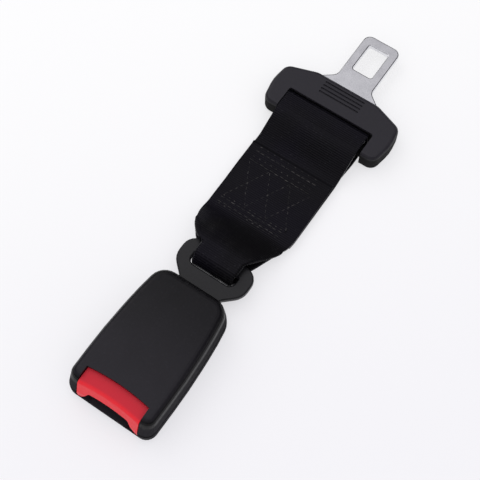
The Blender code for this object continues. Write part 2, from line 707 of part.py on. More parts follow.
def build_lower_cover(mouth, material):
    """The shallow lower half of the casing, with a locating lip and the lip under the mouth."""
    lip_top = PARTING_HEIGHT + LIP_HEIGHT
    parting = PARTING_HEIGHT - PARTING_GAP
    rows = [(LOWER_INSET, COVER_FLOOR), (LOWER_INSET, lip_top), (LIP_INSET, lip_top), (LIP_INSET, parting)]
    rows += [(PARTING_CHAMFER, parting), (0, parting - PARTING_CHAMFER)]
    rows += reversed(rounded_rows(0, parting, LOWER_EDGE, 0)[:4])
    cover = add_object("lower_cover", stack(casing_outline(), rows), mouth, material=material)

    opening = BUTTON_WIDTH / 2 + GAP
    lip_half = MOUTH_LIP_WIDTH / 2
    foot = BUTTON_FOOT - GAP
    rise = MOUTH_LIP_TOP - foot
    right = [(lip_half, MOUTH_LIP_TOP, 0), (lip_half + rise / 2, foot, 0)]
    right += [(opening, foot, 0), (opening, 2 * lip_top, 0)]
    cut = front_plate(fillet(mirrored(right)), -COVER_WALL, 2 * LOWER_INSET)
    combine(cover, add_object("mouth_cutter", cut, mouth), "DIFFERENCE")
    neck = neck_cutter("lower_neck_cutter", ANCHOR_FLOOR - NECK_GAP, 2 * lip_top, mouth)
    combine(cover, neck, "DIFFERENCE")
    return cover


def build_upper_cover(mouth, material):
    """The deep upper half of the casing, crowned on top and notched for the button."""
    thick_side = COVER_WALL + COVER_DRAFT
    rows = [(thick_side, COVER_CEILING), (COVER_WALL, PARTING_HEIGHT)]
    rows += [(PARTING_CHAMFER, PARTING_HEIGHT), (0, PARTING_HEIGHT + PARTING_CHAMFER)]
    shoulder = BUCKLE_HEIGHT - BUCKLE_CROWN - COVER_EDGE
    steps = 5
    for step in range(steps + 1):
        angle = math.pi / 2 * step / steps
        inwards = COVER_DRAFT + COVER_EDGE * (1 - math.cos(angle))
        rows.append((inwards, shoulder + COVER_EDGE * math.sin(angle)))
    build = stack(casing_outline(), rows)
    half = BUCKLE_WIDTH / 2
    slice_across(build, 0, [half * share for share in (-0.75, -0.5, -0.25, 0, 0.25, 0.5, 0.75)])
    slice_across(build, 1, [BUCKLE_LENGTH * share for share in (0.15, 0.3, 0.5, 0.7, 0.85)])
    for vertex in build.verts:
        x, y, z = vertex.co
        if z > shoulder:
            across = 1 - (x / half) ** 2
            along = 1 - (2 * y / BUCKLE_LENGTH - 1) ** 2
            share = (z - shoulder) / COVER_EDGE
            vertex.co.z += BUCKLE_CROWN * across * along * share if z > COVER_CEILING + SNUG else 0
        vertex.co.y += front_rake(z) * (1 - ease(y / RAKE_DEPTH))
    bmesh.ops.triangulate(build, faces=build.faces)
    cover = add_object("upper_cover", build, mouth, material=material)

    opening = BUTTON_WIDTH / 2 + GAP
    depth = NOTCH_DEPTH + GAP
    back = []
    steps = 8
    for step in range(steps + 1):
        share = 1 - 2 * step / steps
        back.append(Vector((opening * share, depth + NOTCH_BULGE * (1 - share * share))))
    front = [Vector((-opening, -COVER_WALL)), Vector((opening, -COVER_WALL))]
    cut = plate(front + back, PARTING_HEIGHT - COVER_WALL, BUCKLE_HEIGHT + COVER_WALL)
    combine(cover, add_object("notch_cutter", cut, mouth), "DIFFERENCE")
    high = ANCHOR_FLOOR + ANCHOR_THICKNESS + NECK_GAP
    combine(cover, neck_cutter("upper_neck_cutter", ANCHOR_FLOOR, high, mouth), "DIFFERENCE")
    return cover


def build_button(mouth, material):
    """The press button: a raked front wall with an arch, a top skin, and two arms to the lock pin."""
    skin_low = BUTTON_TOP - BUTTON_SKIN
    back = NOTCH_DEPTH + BUTTON_HIDDEN
    foot = BUTTON_FOOT
    wall = BUTTON_FRONT_WALL
    profile = fillet(
        [
            (GAP, foot, 0),
            (GAP + wall, foot, 0),
            (GAP + wall + front_rake(skin_low), skin_low, 0),
            (back, skin_low, 0),
            (back, BUTTON_TOP, 0),
            (GAP + front_rake(BUTTON_TOP), BUTTON_TOP, BUTTON_NOSE),
            (GAP, PARTING_HEIGHT, 0),
        ]
    )
    half = BUTTON_WIDTH / 2
    build = side_plate(profile, -half, half)
    slice_across(build, 0, [half * share for share in (-0.75, -0.5, -0.25, 0, 0.25, 0.5, 0.75)])
    for vertex in build.verts:
        vertex.co.y += NOTCH_BULGE * (1 - (vertex.co.x / half) ** 2)
    bmesh.ops.triangulate(build, faces=build.faces)
    button = add_object("press_button", build, mouth, material=material)

    arch_side = [(ARCH_FOOT_WIDTH / 2, 0, 0), (ARCH_FOOT_WIDTH / 2, foot, 0)]
    arch_side.append((ARCH_TOP_WIDTH / 2, ARCH_TOP, ARCH_CORNER))
    arch = fillet(mirrored(arch_side))
    combine(button, add_object("arch_cutter", front_plate(arch, -wall, back), mouth), "DIFFERENCE")
    for side in (-1, 1):
        name = "left" if side < 0 else "right"
        low, high = sorted((side * (ARM_X - ARM_THICKNESS / 2), side * (ARM_X + ARM_THICKNESS / 2)))
        front = GAP + wall + front_rake(ARM_FOOT) / 2
        arm = [Vector((front, ARM_FOOT)), Vector((ARM_END, ARM_FOOT))]
        arm += [Vector((ARM_END, BUTTON_TOP - SNUG)), Vector((front + BUTTON_SKIN, BUTTON_TOP - SNUG))]
        blank = add_object(f"arm_blank_{name}", side_plate(arm, low, high), mouth)
        combine(button, blank, "UNION")
    hole = side_plate(circle(LOCK_PIN_RADIUS + SNUG, (LOCK_PIN_Y, LOCK_PIN_Z)), -half, half)
    combine(button, add_object("arm_hole_cutter", hole, mouth), "DIFFERENCE")
    return button


def build_lock_pin(mouth, material):
    """The cross pin that the button's arms carry in the frame's slots."""
    build = cross_pin(LOCK_PIN_RADIUS, FRAME_WIDTH)
    return add_object("lock_pin", build, mouth, (0, LOCK_PIN_Y, LOCK_PIN_Z), material)


def build_frame(mouth, material):
    """The steel channel: a slotted base, two walls with the pins' openings, and the springs' ears."""
    half = FRAME_WIDTH / 2
    inner = half - FRAME_SHEET / 2
    side = [
        (half - FRAME_LIP_INSET, LOWER_INSET + GAP, FRAME_CORNER),
        (half - FRAME_LIP_INSET, FRAME_WALL_AT, 0),
        (inner, FRAME_WALL_AT + FRAME_SHEET / 2, 0),
        (inner, FRAME_WALL_BACK - FRAME_SHEET / 2, 0),
        (half - FRAME_TAIL_INSET, FRAME_WALL_BACK, 0),
        (half - FRAME_TAIL_INSET, FRAME_BACK, FRAME_END_CORNER),
    ]
    keel_front = EJECTOR_Y + EJECTOR_LENGTH - KEEL_LENGTH
    slot = box_outline(KEEL_WIDTH + 2 * GAP, keel_front - GAP, ANCHOR_TAIL_Y, GAP)
    holes = [slot]
    rivet_y = BUCKLE_LENGTH - RIVET_FROM_BACK
    for sign in (-1, 1):
        holes.append(circle(RIVET_RADIUS + SNUG, (sign * RIVET_SPREAD, rivet_y)))
    base = plate(fillet(mirrored(side)), FRAME_FLOOR, FRAME_TOP, holes=holes)
    frame = add_object("buckle_frame", base, mouth, material=material)

    low_back = FRAME_WALL_AT + FRAME_LOW_LENGTH
    rise = FRAME_WALL_TOP - FRAME_LOW_WALL
    outline = fillet(
        [
            (FRAME_WALL_AT, FRAME_FLOOR + SNUG, 0),
            (FRAME_WALL_BACK, FRAME_FLOOR + SNUG, 0),
            (FRAME_WALL_BACK, FRAME_WALL_TOP, FRAME_CORNER),
            (low_back + rise, FRAME_WALL_TOP, FRAME_CORNER),
            (low_back, FRAME_LOW_WALL, FRAME_CORNER),
            (FRAME_WALL_AT, FRAME_LOW_WALL, FRAME_FRONT_CORNER),
        ]
    )
    margin = LOCK_PIN_RADIUS + SNUG
    pin_slot = fillet(
        [
            (LOCK_PIN_Y - margin, LOCK_PIN_Z - margin, margin),
            (LOCK_PIN_Y + BUTTON_TRAVEL + margin, LOCK_PIN_Z - margin, margin),
            (LOCK_PIN_Y + BUTTON_TRAVEL + margin, LOCK_PIN_Z + margin, margin),
            (LOCK_PIN_Y - margin, LOCK_PIN_Z + margin, margin),
        ]
    )
    pivot_hole = circle(PIVOT_PIN_RADIUS + SNUG, (PIVOT_Y, PIVOT_Z))
    ear_half = ARM_THICKNESS / 2 + GAP
    for sign in (-1, 1):
        name = "left" if sign < 0 else "right"
        low, high = sorted((sign * half, sign * (half - FRAME_SHEET)))
        wall = side_plate(outline, low, high, holes=(pin_slot, pivot_hole))
        combine(frame, add_object(f"wall_blank_{name}", wall, mouth), "UNION")
        low, high = sorted((sign * (ARM_X - ear_half), sign * (ARM_X + ear_half + FRAME_SHEET / 2)))
        ear = fillet(
            [
                (low, FRAME_WALL_TOP - SNUG - EAR_HEIGHT, 0),
                (high, FRAME_WALL_TOP - SNUG - EAR_HEIGHT, 0),
                (high, FRAME_WALL_TOP - SNUG, 0),
                (low, FRAME_WALL_TOP - SNUG, 0),
            ]
        )
        blank = front_plate(ear, EAR_Y - FRAME_SHEET, EAR_Y)
        combine(frame, add_object(f"ear_blank_{name}", blank, mouth), "UNION")
    return frame


def build_latch(mouth, material):
    """The latch plate about its pin: an arm with a cam for the lock pin, a boss, and the tooth."""
    low = CHANNEL_TOP - PIVOT_Z
    top = LATCH_TOP - PIVOT_Z
    cam = top - CAM_DROP
    nose = LATCH_ARM + TOOTH_LENGTH / 2 + LATCH_NOSE
    boss = LATCH_BOSS_RADIUS
    first = -math.pi + math.asin(-low / boss)
    last = math.pi - math.asin(cam / boss)
    outline = [Vector((-nose, low))]
    steps = 14
    for step in range(steps + 1):
        angle = first + (last - first) * step / steps
        outline.append(Vector((boss * math.cos(angle), boss * math.sin(angle))))
    cam_front = LOCK_PIN_AHEAD - SNUG
    outline += [Vector((-(cam_front - BUTTON_TRAVEL), cam)), Vector((-cam_front, top)), Vector((-nose, top))]
    half = LATCH_WIDTH / 2
    hole = circle(PIVOT_PIN_RADIUS + SNUG)
    location = (0, PIVOT_Y, PIVOT_Z)
    build = side_plate(outline, -half, half, holes=(hole,))
    latch = add_object("latch_plate", build, mouth, location, material)

    back = -(LATCH_ARM - TOOTH_LENGTH / 2)
    front = -(LATCH_ARM + TOOTH_LENGTH / 2)
    tip = FRAME_TOP + TOOTH_TIP_GAP - PIVOT_Z
    root = low + SNUG
    tooth = fillet(
        [(front, tip, TOOTH_FRONT_CORNER), (back, tip, TOOTH_BACK_CORNER), (back, root, 0), (front, root, 0)]
    )
    blank = side_plate(tooth, -TOOTH_WIDTH / 2, TOOTH_WIDTH / 2)
    combine(latch, add_object("tooth_blank", blank, mouth, location), "UNION")
    return latch


def build_pivot_pin(mouth, material):
    """The pin that the latch turns on."""
    build = cross_pin(PIVOT_PIN_RADIUS, FRAME_WIDTH)
    return add_object("latch_pivot_pin", build, mouth, (0, PIVOT_Y, PIVOT_Z), material)


def build_ejector(mouth, material):
    """The slider under the latch: a fork round the tooth and a keel that holds the spring."""
    half = EJECTOR_WIDTH / 2
    fork = FORK_GAP / 2
    floor = FRAME_TOP + SNUG
    top = floor + EJECTOR_THICKNESS
    outline = fillet(
        [
            (fork, 0, EJECTOR_CORNER),
            (half, 0, EJECTOR_CORNER),
            (half, EJECTOR_LENGTH, EJECTOR_CORNER),
            (-half, EJECTOR_LENGTH, EJECTOR_CORNER),
            (-half, 0, EJECTOR_CORNER),
            (-fork, 0, EJECTOR_CORNER),
            (-fork, FORK_DEPTH, EJECTOR_CORNER),
            (fork, FORK_DEPTH, EJECTOR_CORNER),
        ]
    )
    location = (0, EJECTOR_Y, 0)
    ejector = add_object("ejector", plate(outline, floor, top), mouth, location, material)
    keel_front = EJECTOR_LENGTH - KEEL_LENGTH
    keel = plate(box_outline(KEEL_WIDTH, keel_front, EJECTOR_LENGTH - SNUG), FRAME_FLOOR + GAP, top - SNUG)
    combine(ejector, add_object("keel_blank", keel, mouth, location), "UNION")
    width = 2 * (EJECTOR_SPRING_RADIUS + SNUG)
    seat = keel_front + KEEL_WALL
    pocket = plate(box_outline(width, seat, EJECTOR_LENGTH + KEEL_WALL), 0, EJECTOR_SPRING_Z + width / 2)
    combine(ejector, add_object("spring_pocket_cutter", pocket, mouth, location), "DIFFERENCE")
    return ejector


def build_springs(mouth, material):
    """The ejector's spring and the button's two."""
    start = EJECTOR_Y + EJECTOR_LENGTH - KEEL_LENGTH + KEEL_WALL + SNUG
    build = coil(EJECTOR_SPRING_RADIUS, EJECTOR_SPRING_WIRE, ANCHOR_TAIL_Y - SNUG - start)
    add_object("ejector_spring", build, mouth, (0, start, EJECTOR_SPRING_Z), material)
    start = ARM_END + SNUG
    length = EAR_Y - FRAME_SHEET - SNUG - start
    for side, name in ((-1, "left"), (1, "right")):
        build = coil(BUTTON_SPRING_RADIUS, BUTTON_SPRING_WIRE, length)
        add_object(f"button_spring_{name}", build, mouth, (side * ARM_X, start, SPRING_LINE_Z), material)


def build_rivets(mouth, material):
    """The two rivets that join the anchor plate to the frame, sunk flush below and domed above."""
    top = ANCHOR_FLOOR + ANCHOR_THICKNESS + SNUG
    profile = [(0, FRAME_FLOOR + SNUG / 2), (RIVET_RADIUS, FRAME_FLOOR + SNUG / 2), (RIVET_RADIUS, top)]
    profile += [(RIVET_HEAD_RADIUS, top)]
    steps = 4
    for step in range(1, steps + 1):
        angle = math.pi / 2 * step / steps
        profile.append((RIVET_HEAD_RADIUS * math.cos(angle), top + RIVET_HEAD_HEIGHT * math.sin(angle)))
    profile[-1] = (0, top + RIVET_HEAD_HEIGHT)
    for side, name in ((-1, "left"), (1, "right")):
        place = (side * RIVET_SPREAD, BUCKLE_LENGTH - RIVET_FROM_BACK, 0)
        add_object(f"rivet_{name}", turned(profile), mouth, place, material)


def main():
    """Clears the scene and builds the belt."""
    for leftover in list(bpy.data.objects):
        bpy.data.objects.remove(leftover)

    black_grip = make_material("grip_plastic", (0.032, 0.032, 0.036), 0.5)
    black_casing = make_material("casing_plastic", (0.022, 0.022, 0.025), 0.55)
    red = make_material("button_plastic", (0.5, 0.02, 0.035), 0.4)
    web = make_material("webbing", (0.009, 0.009, 0.011), 0.85)
    tongue_steel = make_material("tongue_steel", (0.55, 0.55, 0.58), 0.35, 1.0)
    coated_steel = make_material("coated_steel", (0.03, 0.03, 0.034), 0.4, 0.3)
    frame_steel = make_material("frame_steel", (0.45, 0.45, 0.46), 0.45, 1.0)
    spring_steel = make_material("spring_steel", (0.6, 0.6, 0.6), 0.3, 1.0)
    slider = make_material("slider_plastic", (0.6, 0.6, 0.57), 0.5)

    build_webbing(web)
    tongue = add_empty("tongue_pivot", (0, TONGUE_BAR_Y, TONGUE_MID))
    build_tongue_plate(tongue, tongue_steel)
    build_tongue_grip(tongue, black_grip)

    anchor = add_empty("anchor_pivot", (0, ANCHOR_BAR_Y, ANCHOR_MID))
    build_anchor_plate(anchor, coated_steel)
    mouth = add_empty("buckle_mouth", (0, -BUCKLE_REACH, -ANCHOR_MID), anchor)
    build_lower_cover(mouth, black_casing)
    build_upper_cover(mouth, black_casing)
    build_button(mouth, red)
    build_lock_pin(mouth, frame_steel)
    build_frame(mouth, frame_steel)
    build_latch(mouth, frame_steel)
    build_pivot_pin(mouth, frame_steel)
    build_ejector(mouth, slider)
    build_springs(mouth, spring_steel)
    build_rivets(mouth, frame_steel)


if __name__ == "__main__":
    main()
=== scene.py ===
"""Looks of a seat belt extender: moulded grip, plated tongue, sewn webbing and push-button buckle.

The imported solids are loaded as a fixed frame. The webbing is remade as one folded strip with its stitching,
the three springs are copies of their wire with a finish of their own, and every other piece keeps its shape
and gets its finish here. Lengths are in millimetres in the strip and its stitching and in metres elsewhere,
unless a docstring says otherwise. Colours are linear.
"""

from __future__ import annotations

import logging
import math
from dataclasses import dataclass, field
from enum import Enum
from typing import Any

import bmesh
import bpy
from mathutils import Matrix, Vector

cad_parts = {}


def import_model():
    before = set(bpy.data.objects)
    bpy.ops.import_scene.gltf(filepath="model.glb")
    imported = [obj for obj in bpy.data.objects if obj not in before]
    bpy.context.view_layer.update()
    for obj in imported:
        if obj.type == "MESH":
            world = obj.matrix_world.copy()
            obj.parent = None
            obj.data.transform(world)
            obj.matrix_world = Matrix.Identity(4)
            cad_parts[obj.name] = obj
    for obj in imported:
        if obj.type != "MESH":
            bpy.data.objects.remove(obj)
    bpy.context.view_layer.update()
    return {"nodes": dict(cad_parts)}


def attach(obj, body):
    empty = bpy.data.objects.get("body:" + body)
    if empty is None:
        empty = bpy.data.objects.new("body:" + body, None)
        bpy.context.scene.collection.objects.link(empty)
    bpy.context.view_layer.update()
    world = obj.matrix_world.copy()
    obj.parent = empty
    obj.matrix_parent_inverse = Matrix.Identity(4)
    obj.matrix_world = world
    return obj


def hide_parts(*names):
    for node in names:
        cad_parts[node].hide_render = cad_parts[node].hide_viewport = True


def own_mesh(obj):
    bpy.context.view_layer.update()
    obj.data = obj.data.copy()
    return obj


Pair = tuple[float, float]
Triple = tuple[float, float, float]

LOG = logging.getLogger("belt_extender")
MM = 0.001
ALL_TOP = (-2.0, -1.0)  # a band of heights under every piece, so that the whole piece lies above it and no painted shade shows
ALL_DULL = (2.0, 1.0)  # a fade of the painted light that ends in front of every piece, so that the whole piece is evenly dull and no light is painted along it
NO_SEAM_SHADE = (-1.0, 0.001)  # a painted seam shade under every piece, so that none shows


class Body(Enum):
    """The bodies that the added pieces ride on."""

    STRAP = "strap"
    BUCKLE = "buckle"


class Signal:
    """One socket's value, with the arithmetic that the finishes use."""

    def __init__(self, board: "Board", socket: bpy.types.NodeSocket) -> None:
        """Wraps a socket of a board's node tree."""
        self.board = board
        self.socket = socket

    def _math(self, operation: str, *values: Any) -> "Signal":
        """A Math node on this value and others."""
        return self.board.node("ShaderNodeMath", {"operation": operation}, *values)

    def __add__(self, other: Any) -> "Signal":
        """Sum."""
        return self._math("ADD", self, other)

    __radd__ = __add__

    def __sub__(self, other: Any) -> "Signal":
        """Difference."""
        return self._math("SUBTRACT", self, other)

    def __rsub__(self, other: Any) -> "Signal":
        """Difference from a number."""
        return self._math("SUBTRACT", other, self)

    def __mul__(self, other: Any) -> "Signal":
        """Product."""
        return self._math("MULTIPLY", self, other)

    __rmul__ = __mul__

    def sine(self) -> "Signal":
        """Sine of this value in radians."""
        return self._math("SINE", self)

    def larger(self, other: Any) -> "Signal":
        """The larger of two values."""
        return self._math("MAXIMUM", self, other)

    def smaller(self, other: Any) -> "Signal":
        """The smaller of two values."""
        return self._math("MINIMUM", self, other)

    def band(self, low: float, high: float) -> "Signal":
        """This value stretched from low..high to 0..1 and held there."""
        values = (self, low, high, 0.0, 1.0)
        return self.board.node("ShaderNodeMapRange", {"interpolation_type": "SMOOTHSTEP"}, *values)


class Board:
    """A node tree and the methods that add nodes to it."""

    def __init__(self, tree: bpy.types.NodeTree, material: bpy.types.Material | None = None) -> None:
        """Wraps a tree, and the material that it belongs to where it has one."""
        self.tree = tree
        self.material = material
        self.shader = tree.nodes.get("Principled BSDF")

    @classmethod
    def of_material(cls, name: str) -> "Board":
        """A board on the tree of a new material with its Principled shader."""
        material = bpy.data.materials.new(name)
        material.use_nodes = True
        return cls(material.node_tree, material)

    def node(
        self, kind: str, settings: dict[str, Any], *values: Any, output: int | str | None = 0
    ) -> Signal | None:
        """Adds a node.

        Args:
            kind: The node's type name.
            settings: Properties set before the sockets.
            *values: Values or signals for the input sockets in order, None to leave one alone.
            output: The output socket to return, None where the node has none.

        Returns:
            The chosen output as a signal.
        """
        made = self.tree.nodes.new(kind)
        for key, value in settings.items():
            setattr(made, key, value)
        sockets = [socket for socket in made.inputs if socket.enabled]
        for socket, value in zip(sockets, values):
            self.feed(socket, value)
        return None if output is None else Signal(self, made.outputs[output])

    def feed(self, socket: bpy.types.NodeSocket, value: Any) -> None:
        """Links a signal to a socket or sets its value."""
        if value is None:
            return
        if isinstance(value, Signal):
            self.tree.links.new(value.socket, socket)
        elif socket.type == "RGBA":
            socket.default_value = (*value, 1.0)
        else:
            socket.default_value = value

    def place(self, scale: Triple = (1, 1, 1)) -> Signal:
        """Object coordinates in metres, stretched by a scale."""
        coordinates = self.node("ShaderNodeTexCoord", {}, output="Object")
        return self.node("ShaderNodeMapping", {}, coordinates, None, None, scale)

    def noise(self, where: Signal, scale: float, detail: float = 2.0) -> Signal:
        """Smooth noise round 0.5, finer as the scale grows."""
        return self.node("ShaderNodeTexNoise", {}, where, scale, detail, output="Fac")

    def rays(self) -> tuple[Signal, Signal, Signal]:
        """1 for a ray from the camera, off gloss and through glass."""
        path = self.tree.nodes.new("ShaderNodeLightPath")
        kinds = ("Camera", "Glossy", "Transmission")
        return tuple(Signal(self, path.outputs[f"Is {kind} Ray"]) for kind in kinds)

    def split(self, where: Signal) -> tuple[Signal, Signal, Signal]:
        """The three parts of a vector."""
        made = self.tree.nodes.new("ShaderNodeSeparateXYZ")
        self.feed(made.inputs[0], where)
        return tuple(Signal(self, made.outputs[index]) for index in range(3))

    def blend(self, share: Signal, first: Any, second: Any) -> Signal:
        """A colour between two by a share."""
        made = self.tree.nodes.new("ShaderNodeMix")
        made.data_type = "RGBA"
        self.feed(made.inputs[0], share)
        self.feed(made.inputs[6], first)
        self.feed(made.inputs[7], second)
        return Signal(self, made.outputs[2])

    def bump(self, height: Signal, distance: float, strength: float = 1.0) -> Signal:
        """A normal from a height of 0 to 1 over a distance in metres."""
        return self.node("ShaderNodeBump", {}, strength, distance, None, height, output="Normal")

    def finish(self, **sockets: Any) -> bpy.types.Material:
        """Feeds the shader's sockets by name and returns the material."""
        for key, value in sockets.items():
            self.feed(self.shader.inputs[key.replace("_", " ")], value)
        return self.material


@dataclass(frozen=True)
class MouldedPlastic:
    """Plastic from a spark-eroded mould: fine grain, cloudy gloss and a dusting of light specks, with painted
    shade on the rims and the parting line, and painted light along the belt, where these are set.

    Args:
        name: The material's name.
        colour: Base colour.
        lit_and_dusty: Colour where dust and handling dull it, and also the colour of the painted light along
            the belt.
        roughness: Mean roughness.
        grain: Grain cells per metre.
        depth: Grain height.
        gloss: Specular level.
        painted_shade: Colour of the painted shade on the rounded rims, on the shaded walls and along the
            parting line.
        top: Heights between which the painted shade of the rims turns into the top.
        wall: Heights between which the walls turn into the shaded rims.
        wall_share: How far the walls take the top's colour instead of the painted shade.
        wall_rough: How much rougher the walls are.
        seam_shade: Height of the parting line on the walls, drawn in the painted shade's colour, and half its
            width.
        painted_light_run: Places along the belt between which painted light makes the plastic lighter, the
            darker place first.
        clouds, pebble, speck, rub: Scales of the noises, of pebble and speck as shares of the grain's.
        cloud_band, speck_band, rub_band: Values of the noises that go from none to full.
        rub_stretch: Scale that draws the rubbed streaks out along the belt.
        dullness: Shares of the painted light along the belt, the clouds, the specks and the pebble in the
            lit_and_dusty colour.
        unevenness: Shares of the clouds, the pebble and the streaks in the roughness.
        relief: How strongly the grain shows.
    """

    name: str
    colour: Triple
    lit_and_dusty: Triple
    roughness: float
    grain: float = 2200.0
    depth: float = 0.00008
    gloss: float = 0.5
    painted_shade: Triple = (0.0008, 0.0007, 0.0010)
    top: Pair = ALL_TOP
    wall: Pair = ALL_TOP
    wall_share: float = 0.0
    wall_rough: float = 0.45
    seam_shade: Pair = NO_SEAM_SHADE
    painted_light_run: Pair = ALL_DULL
    clouds: float = 45.0
    cloud_band: Pair = (0.3, 0.7)
    pebble: float = 0.4
    speck: float = 0.3
    speck_band: Pair = (0.62, 0.78)
    rub: float = 900.0
    rub_stretch: Triple = (1.0, 0.12, 1.0)
    rub_band: Pair = (0.6, 0.8)
    dullness: tuple[float, float, float, float] = (0.8, 0.15, 0.1, 0.1)
    unevenness: Triple = (0.2, 0.25, 0.05)
    relief: float = 0.8

    def make(self) -> bpy.types.Material:
        """Builds the material."""
        board = Board.of_material(self.name)
        where = board.place()
        cloud = board.noise(where, self.clouds, 3.0)
        grain = board.noise(where, self.grain, 1.0)
        pebble = board.noise(where, self.grain * self.pebble, 1.0)
        speck = board.noise(where, self.grain * self.speck, 0.0).band(*self.speck_band)
        rub = board.noise(board.place(self.rub_stretch), self.rub, 2.0).band(*self.rub_band)
        _, along, height = board.split(where)
        # Painted light: the plastic is drawn lighter towards the front of the belt, where more light falls.
        near, far = self.painted_light_run
        worn = ((near - along) * (1.0 / (near - far))).band(0.0, 1.0)
        of_painted_light, of_cloud, of_speck, of_pebble = self.dullness
        dull = worn * of_painted_light + cloud.band(*self.cloud_band) * of_cloud
        dull = dull + speck * of_speck + pebble * of_pebble
        # Painted shade: the rounded rims take the dark colour, and so do the walls as far as wall_share
        # leaves them.
        low = 1 - height.band(*self.wall)
        # Painted shade along the parting line on the walls.
        apart = (height - self.seam_shade[0]) * (1.0 / self.seam_shade[1])
        lit = height.band(*self.top).larger(low * (apart * apart).band(0.2, 1.0) * self.wall_share)
        tint = board.blend(lit, self.painted_shade, board.blend(dull.smaller(1.0), self.colour, self.lit_and_dusty))
        by_cloud, by_pebble, by_rub = self.unevenness
        rough = self.roughness + low * self.wall_rough + (cloud - 0.5) * by_cloud
        rough = rough + (pebble - 0.5) * by_pebble + rub * by_rub
        return board.finish(
            Base_Color=self.shade(board, tint),
            Roughness=rough,
            Specular_IOR_Level=self.gloss,
            Normal=board.bump(grain * 0.5 + pebble * 0.5, self.depth, self.relief),
        )

    def shade(self, board: Board, tint: Signal) -> Signal:
        """The colour all over, which a finish may change in places."""
        return tint


@dataclass(frozen=True)
class ButtonPlastic(MouldedPlastic):
    """Red button plastic with painted light that makes its front edge brighter.

    Args:
        edge: Colour of the painted light on the front edge.
        lit_edge_at: Where the painted light begins along the belt.
        fade: Over what length the painted light fades.
        bow: How the painted light's edge bows back to the sides, in metres for each square metre.
    """

    edge: Triple = (0.80, 0.018, 0.030)
    lit_edge_at: float = -0.1146
    fade: float = 0.0016
    bow: float = -4.6

    def shade(self, board: Board, tint: Signal) -> Signal:
        """The plastic's colour with painted light on its front edge."""
        across, along, _ = board.split(board.place())
        # Painted light: the front edge is drawn brighter, bowing back towards the sides.
        bulge = across * across * self.bow
        front = 1 - (along - bulge).band(self.lit_edge_at, self.lit_edge_at + self.fade)
        return board.blend(front, tint, self.edge)


@dataclass(frozen=True)
class RolledSteel:
    """Pressed sheet steel: rolling marks one way, a mottled plating and small scuffs.

    Args:
        name: The material's name.
        colour: Base colour.
        dull: Colour of the mottling.
        roughness: Mean roughness.
        metallic: How metallic it is, lower under a coating.
        stretch: Scale that draws the marks out along Y.
        marks: How strongly the rolling marks show.
        gloss: Specular level.
        rolling, mottling, satin, scuffs: Scales of the noises.
        mottle_band, satin_band, scuff_band: Values of the noises that go from none to full.
        scuff_stretch: Scale that draws the scuffs out across the belt.
        dullness: Shares of the mottling and the satin grain in the dull colour.
        unevenness: Shares of the mottling and the scuffs in the roughness.
        depth, relief: Height of the rolling marks, and how strongly it shows.
    """

    name: str
    colour: Triple
    dull: Triple
    roughness: float
    metallic: float = 1.0
    stretch: Triple = (1.0, 0.05, 1.0)
    marks: float = 0.05
    gloss: float = 0.5
    rolling: float = 2600.0
    mottling: float = 160.0
    mottle_band: Pair = (0.3, 0.75)
    satin: float = 1100.0
    satin_band: Pair = (0.35, 0.7)
    scuffs: float = 700.0
    scuff_stretch: Triple = (0.1, 1.0, 1.0)
    scuff_band: Pair = (0.66, 0.78)
    dullness: Pair = (0.6, 0.4)
    unevenness: Pair = (0.12, 0.02)
    depth: float = 0.00001
    relief: float = 0.25

    def make(self) -> bpy.types.Material:
        """Builds the material."""
        board = Board.of_material(self.name)
        where = board.place()
        mottle = board.noise(where, self.mottling, 4.0)
        rolled = board.noise(board.place(self.stretch), self.rolling, 3.0)
        satin = board.noise(where, self.satin, 1.0)
        scuff = board.noise(board.place(self.scuff_stretch), self.scuffs, 1.0).band(*self.scuff_band)
        of_mottle, of_satin = self.dullness
        dull = mottle.band(*self.mottle_band) * of_mottle + satin.band(*self.satin_band) * of_satin
        tint = board.blend(dull, self.colour, self.dull)
        by_mottle, by_scuff = self.unevenness
        rough = self.roughness + (mottle - 0.5) * by_mottle + (rolled - 0.5) * self.marks + scuff * by_scuff
        return board.finish(
            Base_Color=tint,
            Roughness=rough,
            Metallic=self.metallic,
            Specular_IOR_Level=self.gloss,
            Normal=board.bump(rolled, self.depth, self.relief),
        )


@dataclass(frozen=True)
class SpringWire:
    """Drawn wire with faint dark stains on its turns.

    Args:
        name: The material's name.
        colour: Base colour.
        stained: Brightness of the stains as a share of the colour's.
        stains: Scale of the stains.
        stain_band: Values of the stains that go from none to full.
        roughness: Least roughness and how much the stains add to it.
    """

    name: str
    colour: Triple
    stained: float = 0.55
    stains: float = 900.0
    stain_band: Pair = (0.45, 0.7)
    roughness: Pair = (0.24, 0.2)

    def make(self) -> bpy.types.Material:
        """Builds the material."""
        board = Board.of_material(self.name)
        stain = board.noise(board.place(), self.stains, 3.0)
        dark = tuple(self.stained * part for part in self.colour)
        tint = board.blend(stain.band(*self.stain_band), self.colour, dark)
        least, added = self.roughness
        return board.finish(Base_Color=tint, Roughness=least + stain * added, Metallic=1.0)


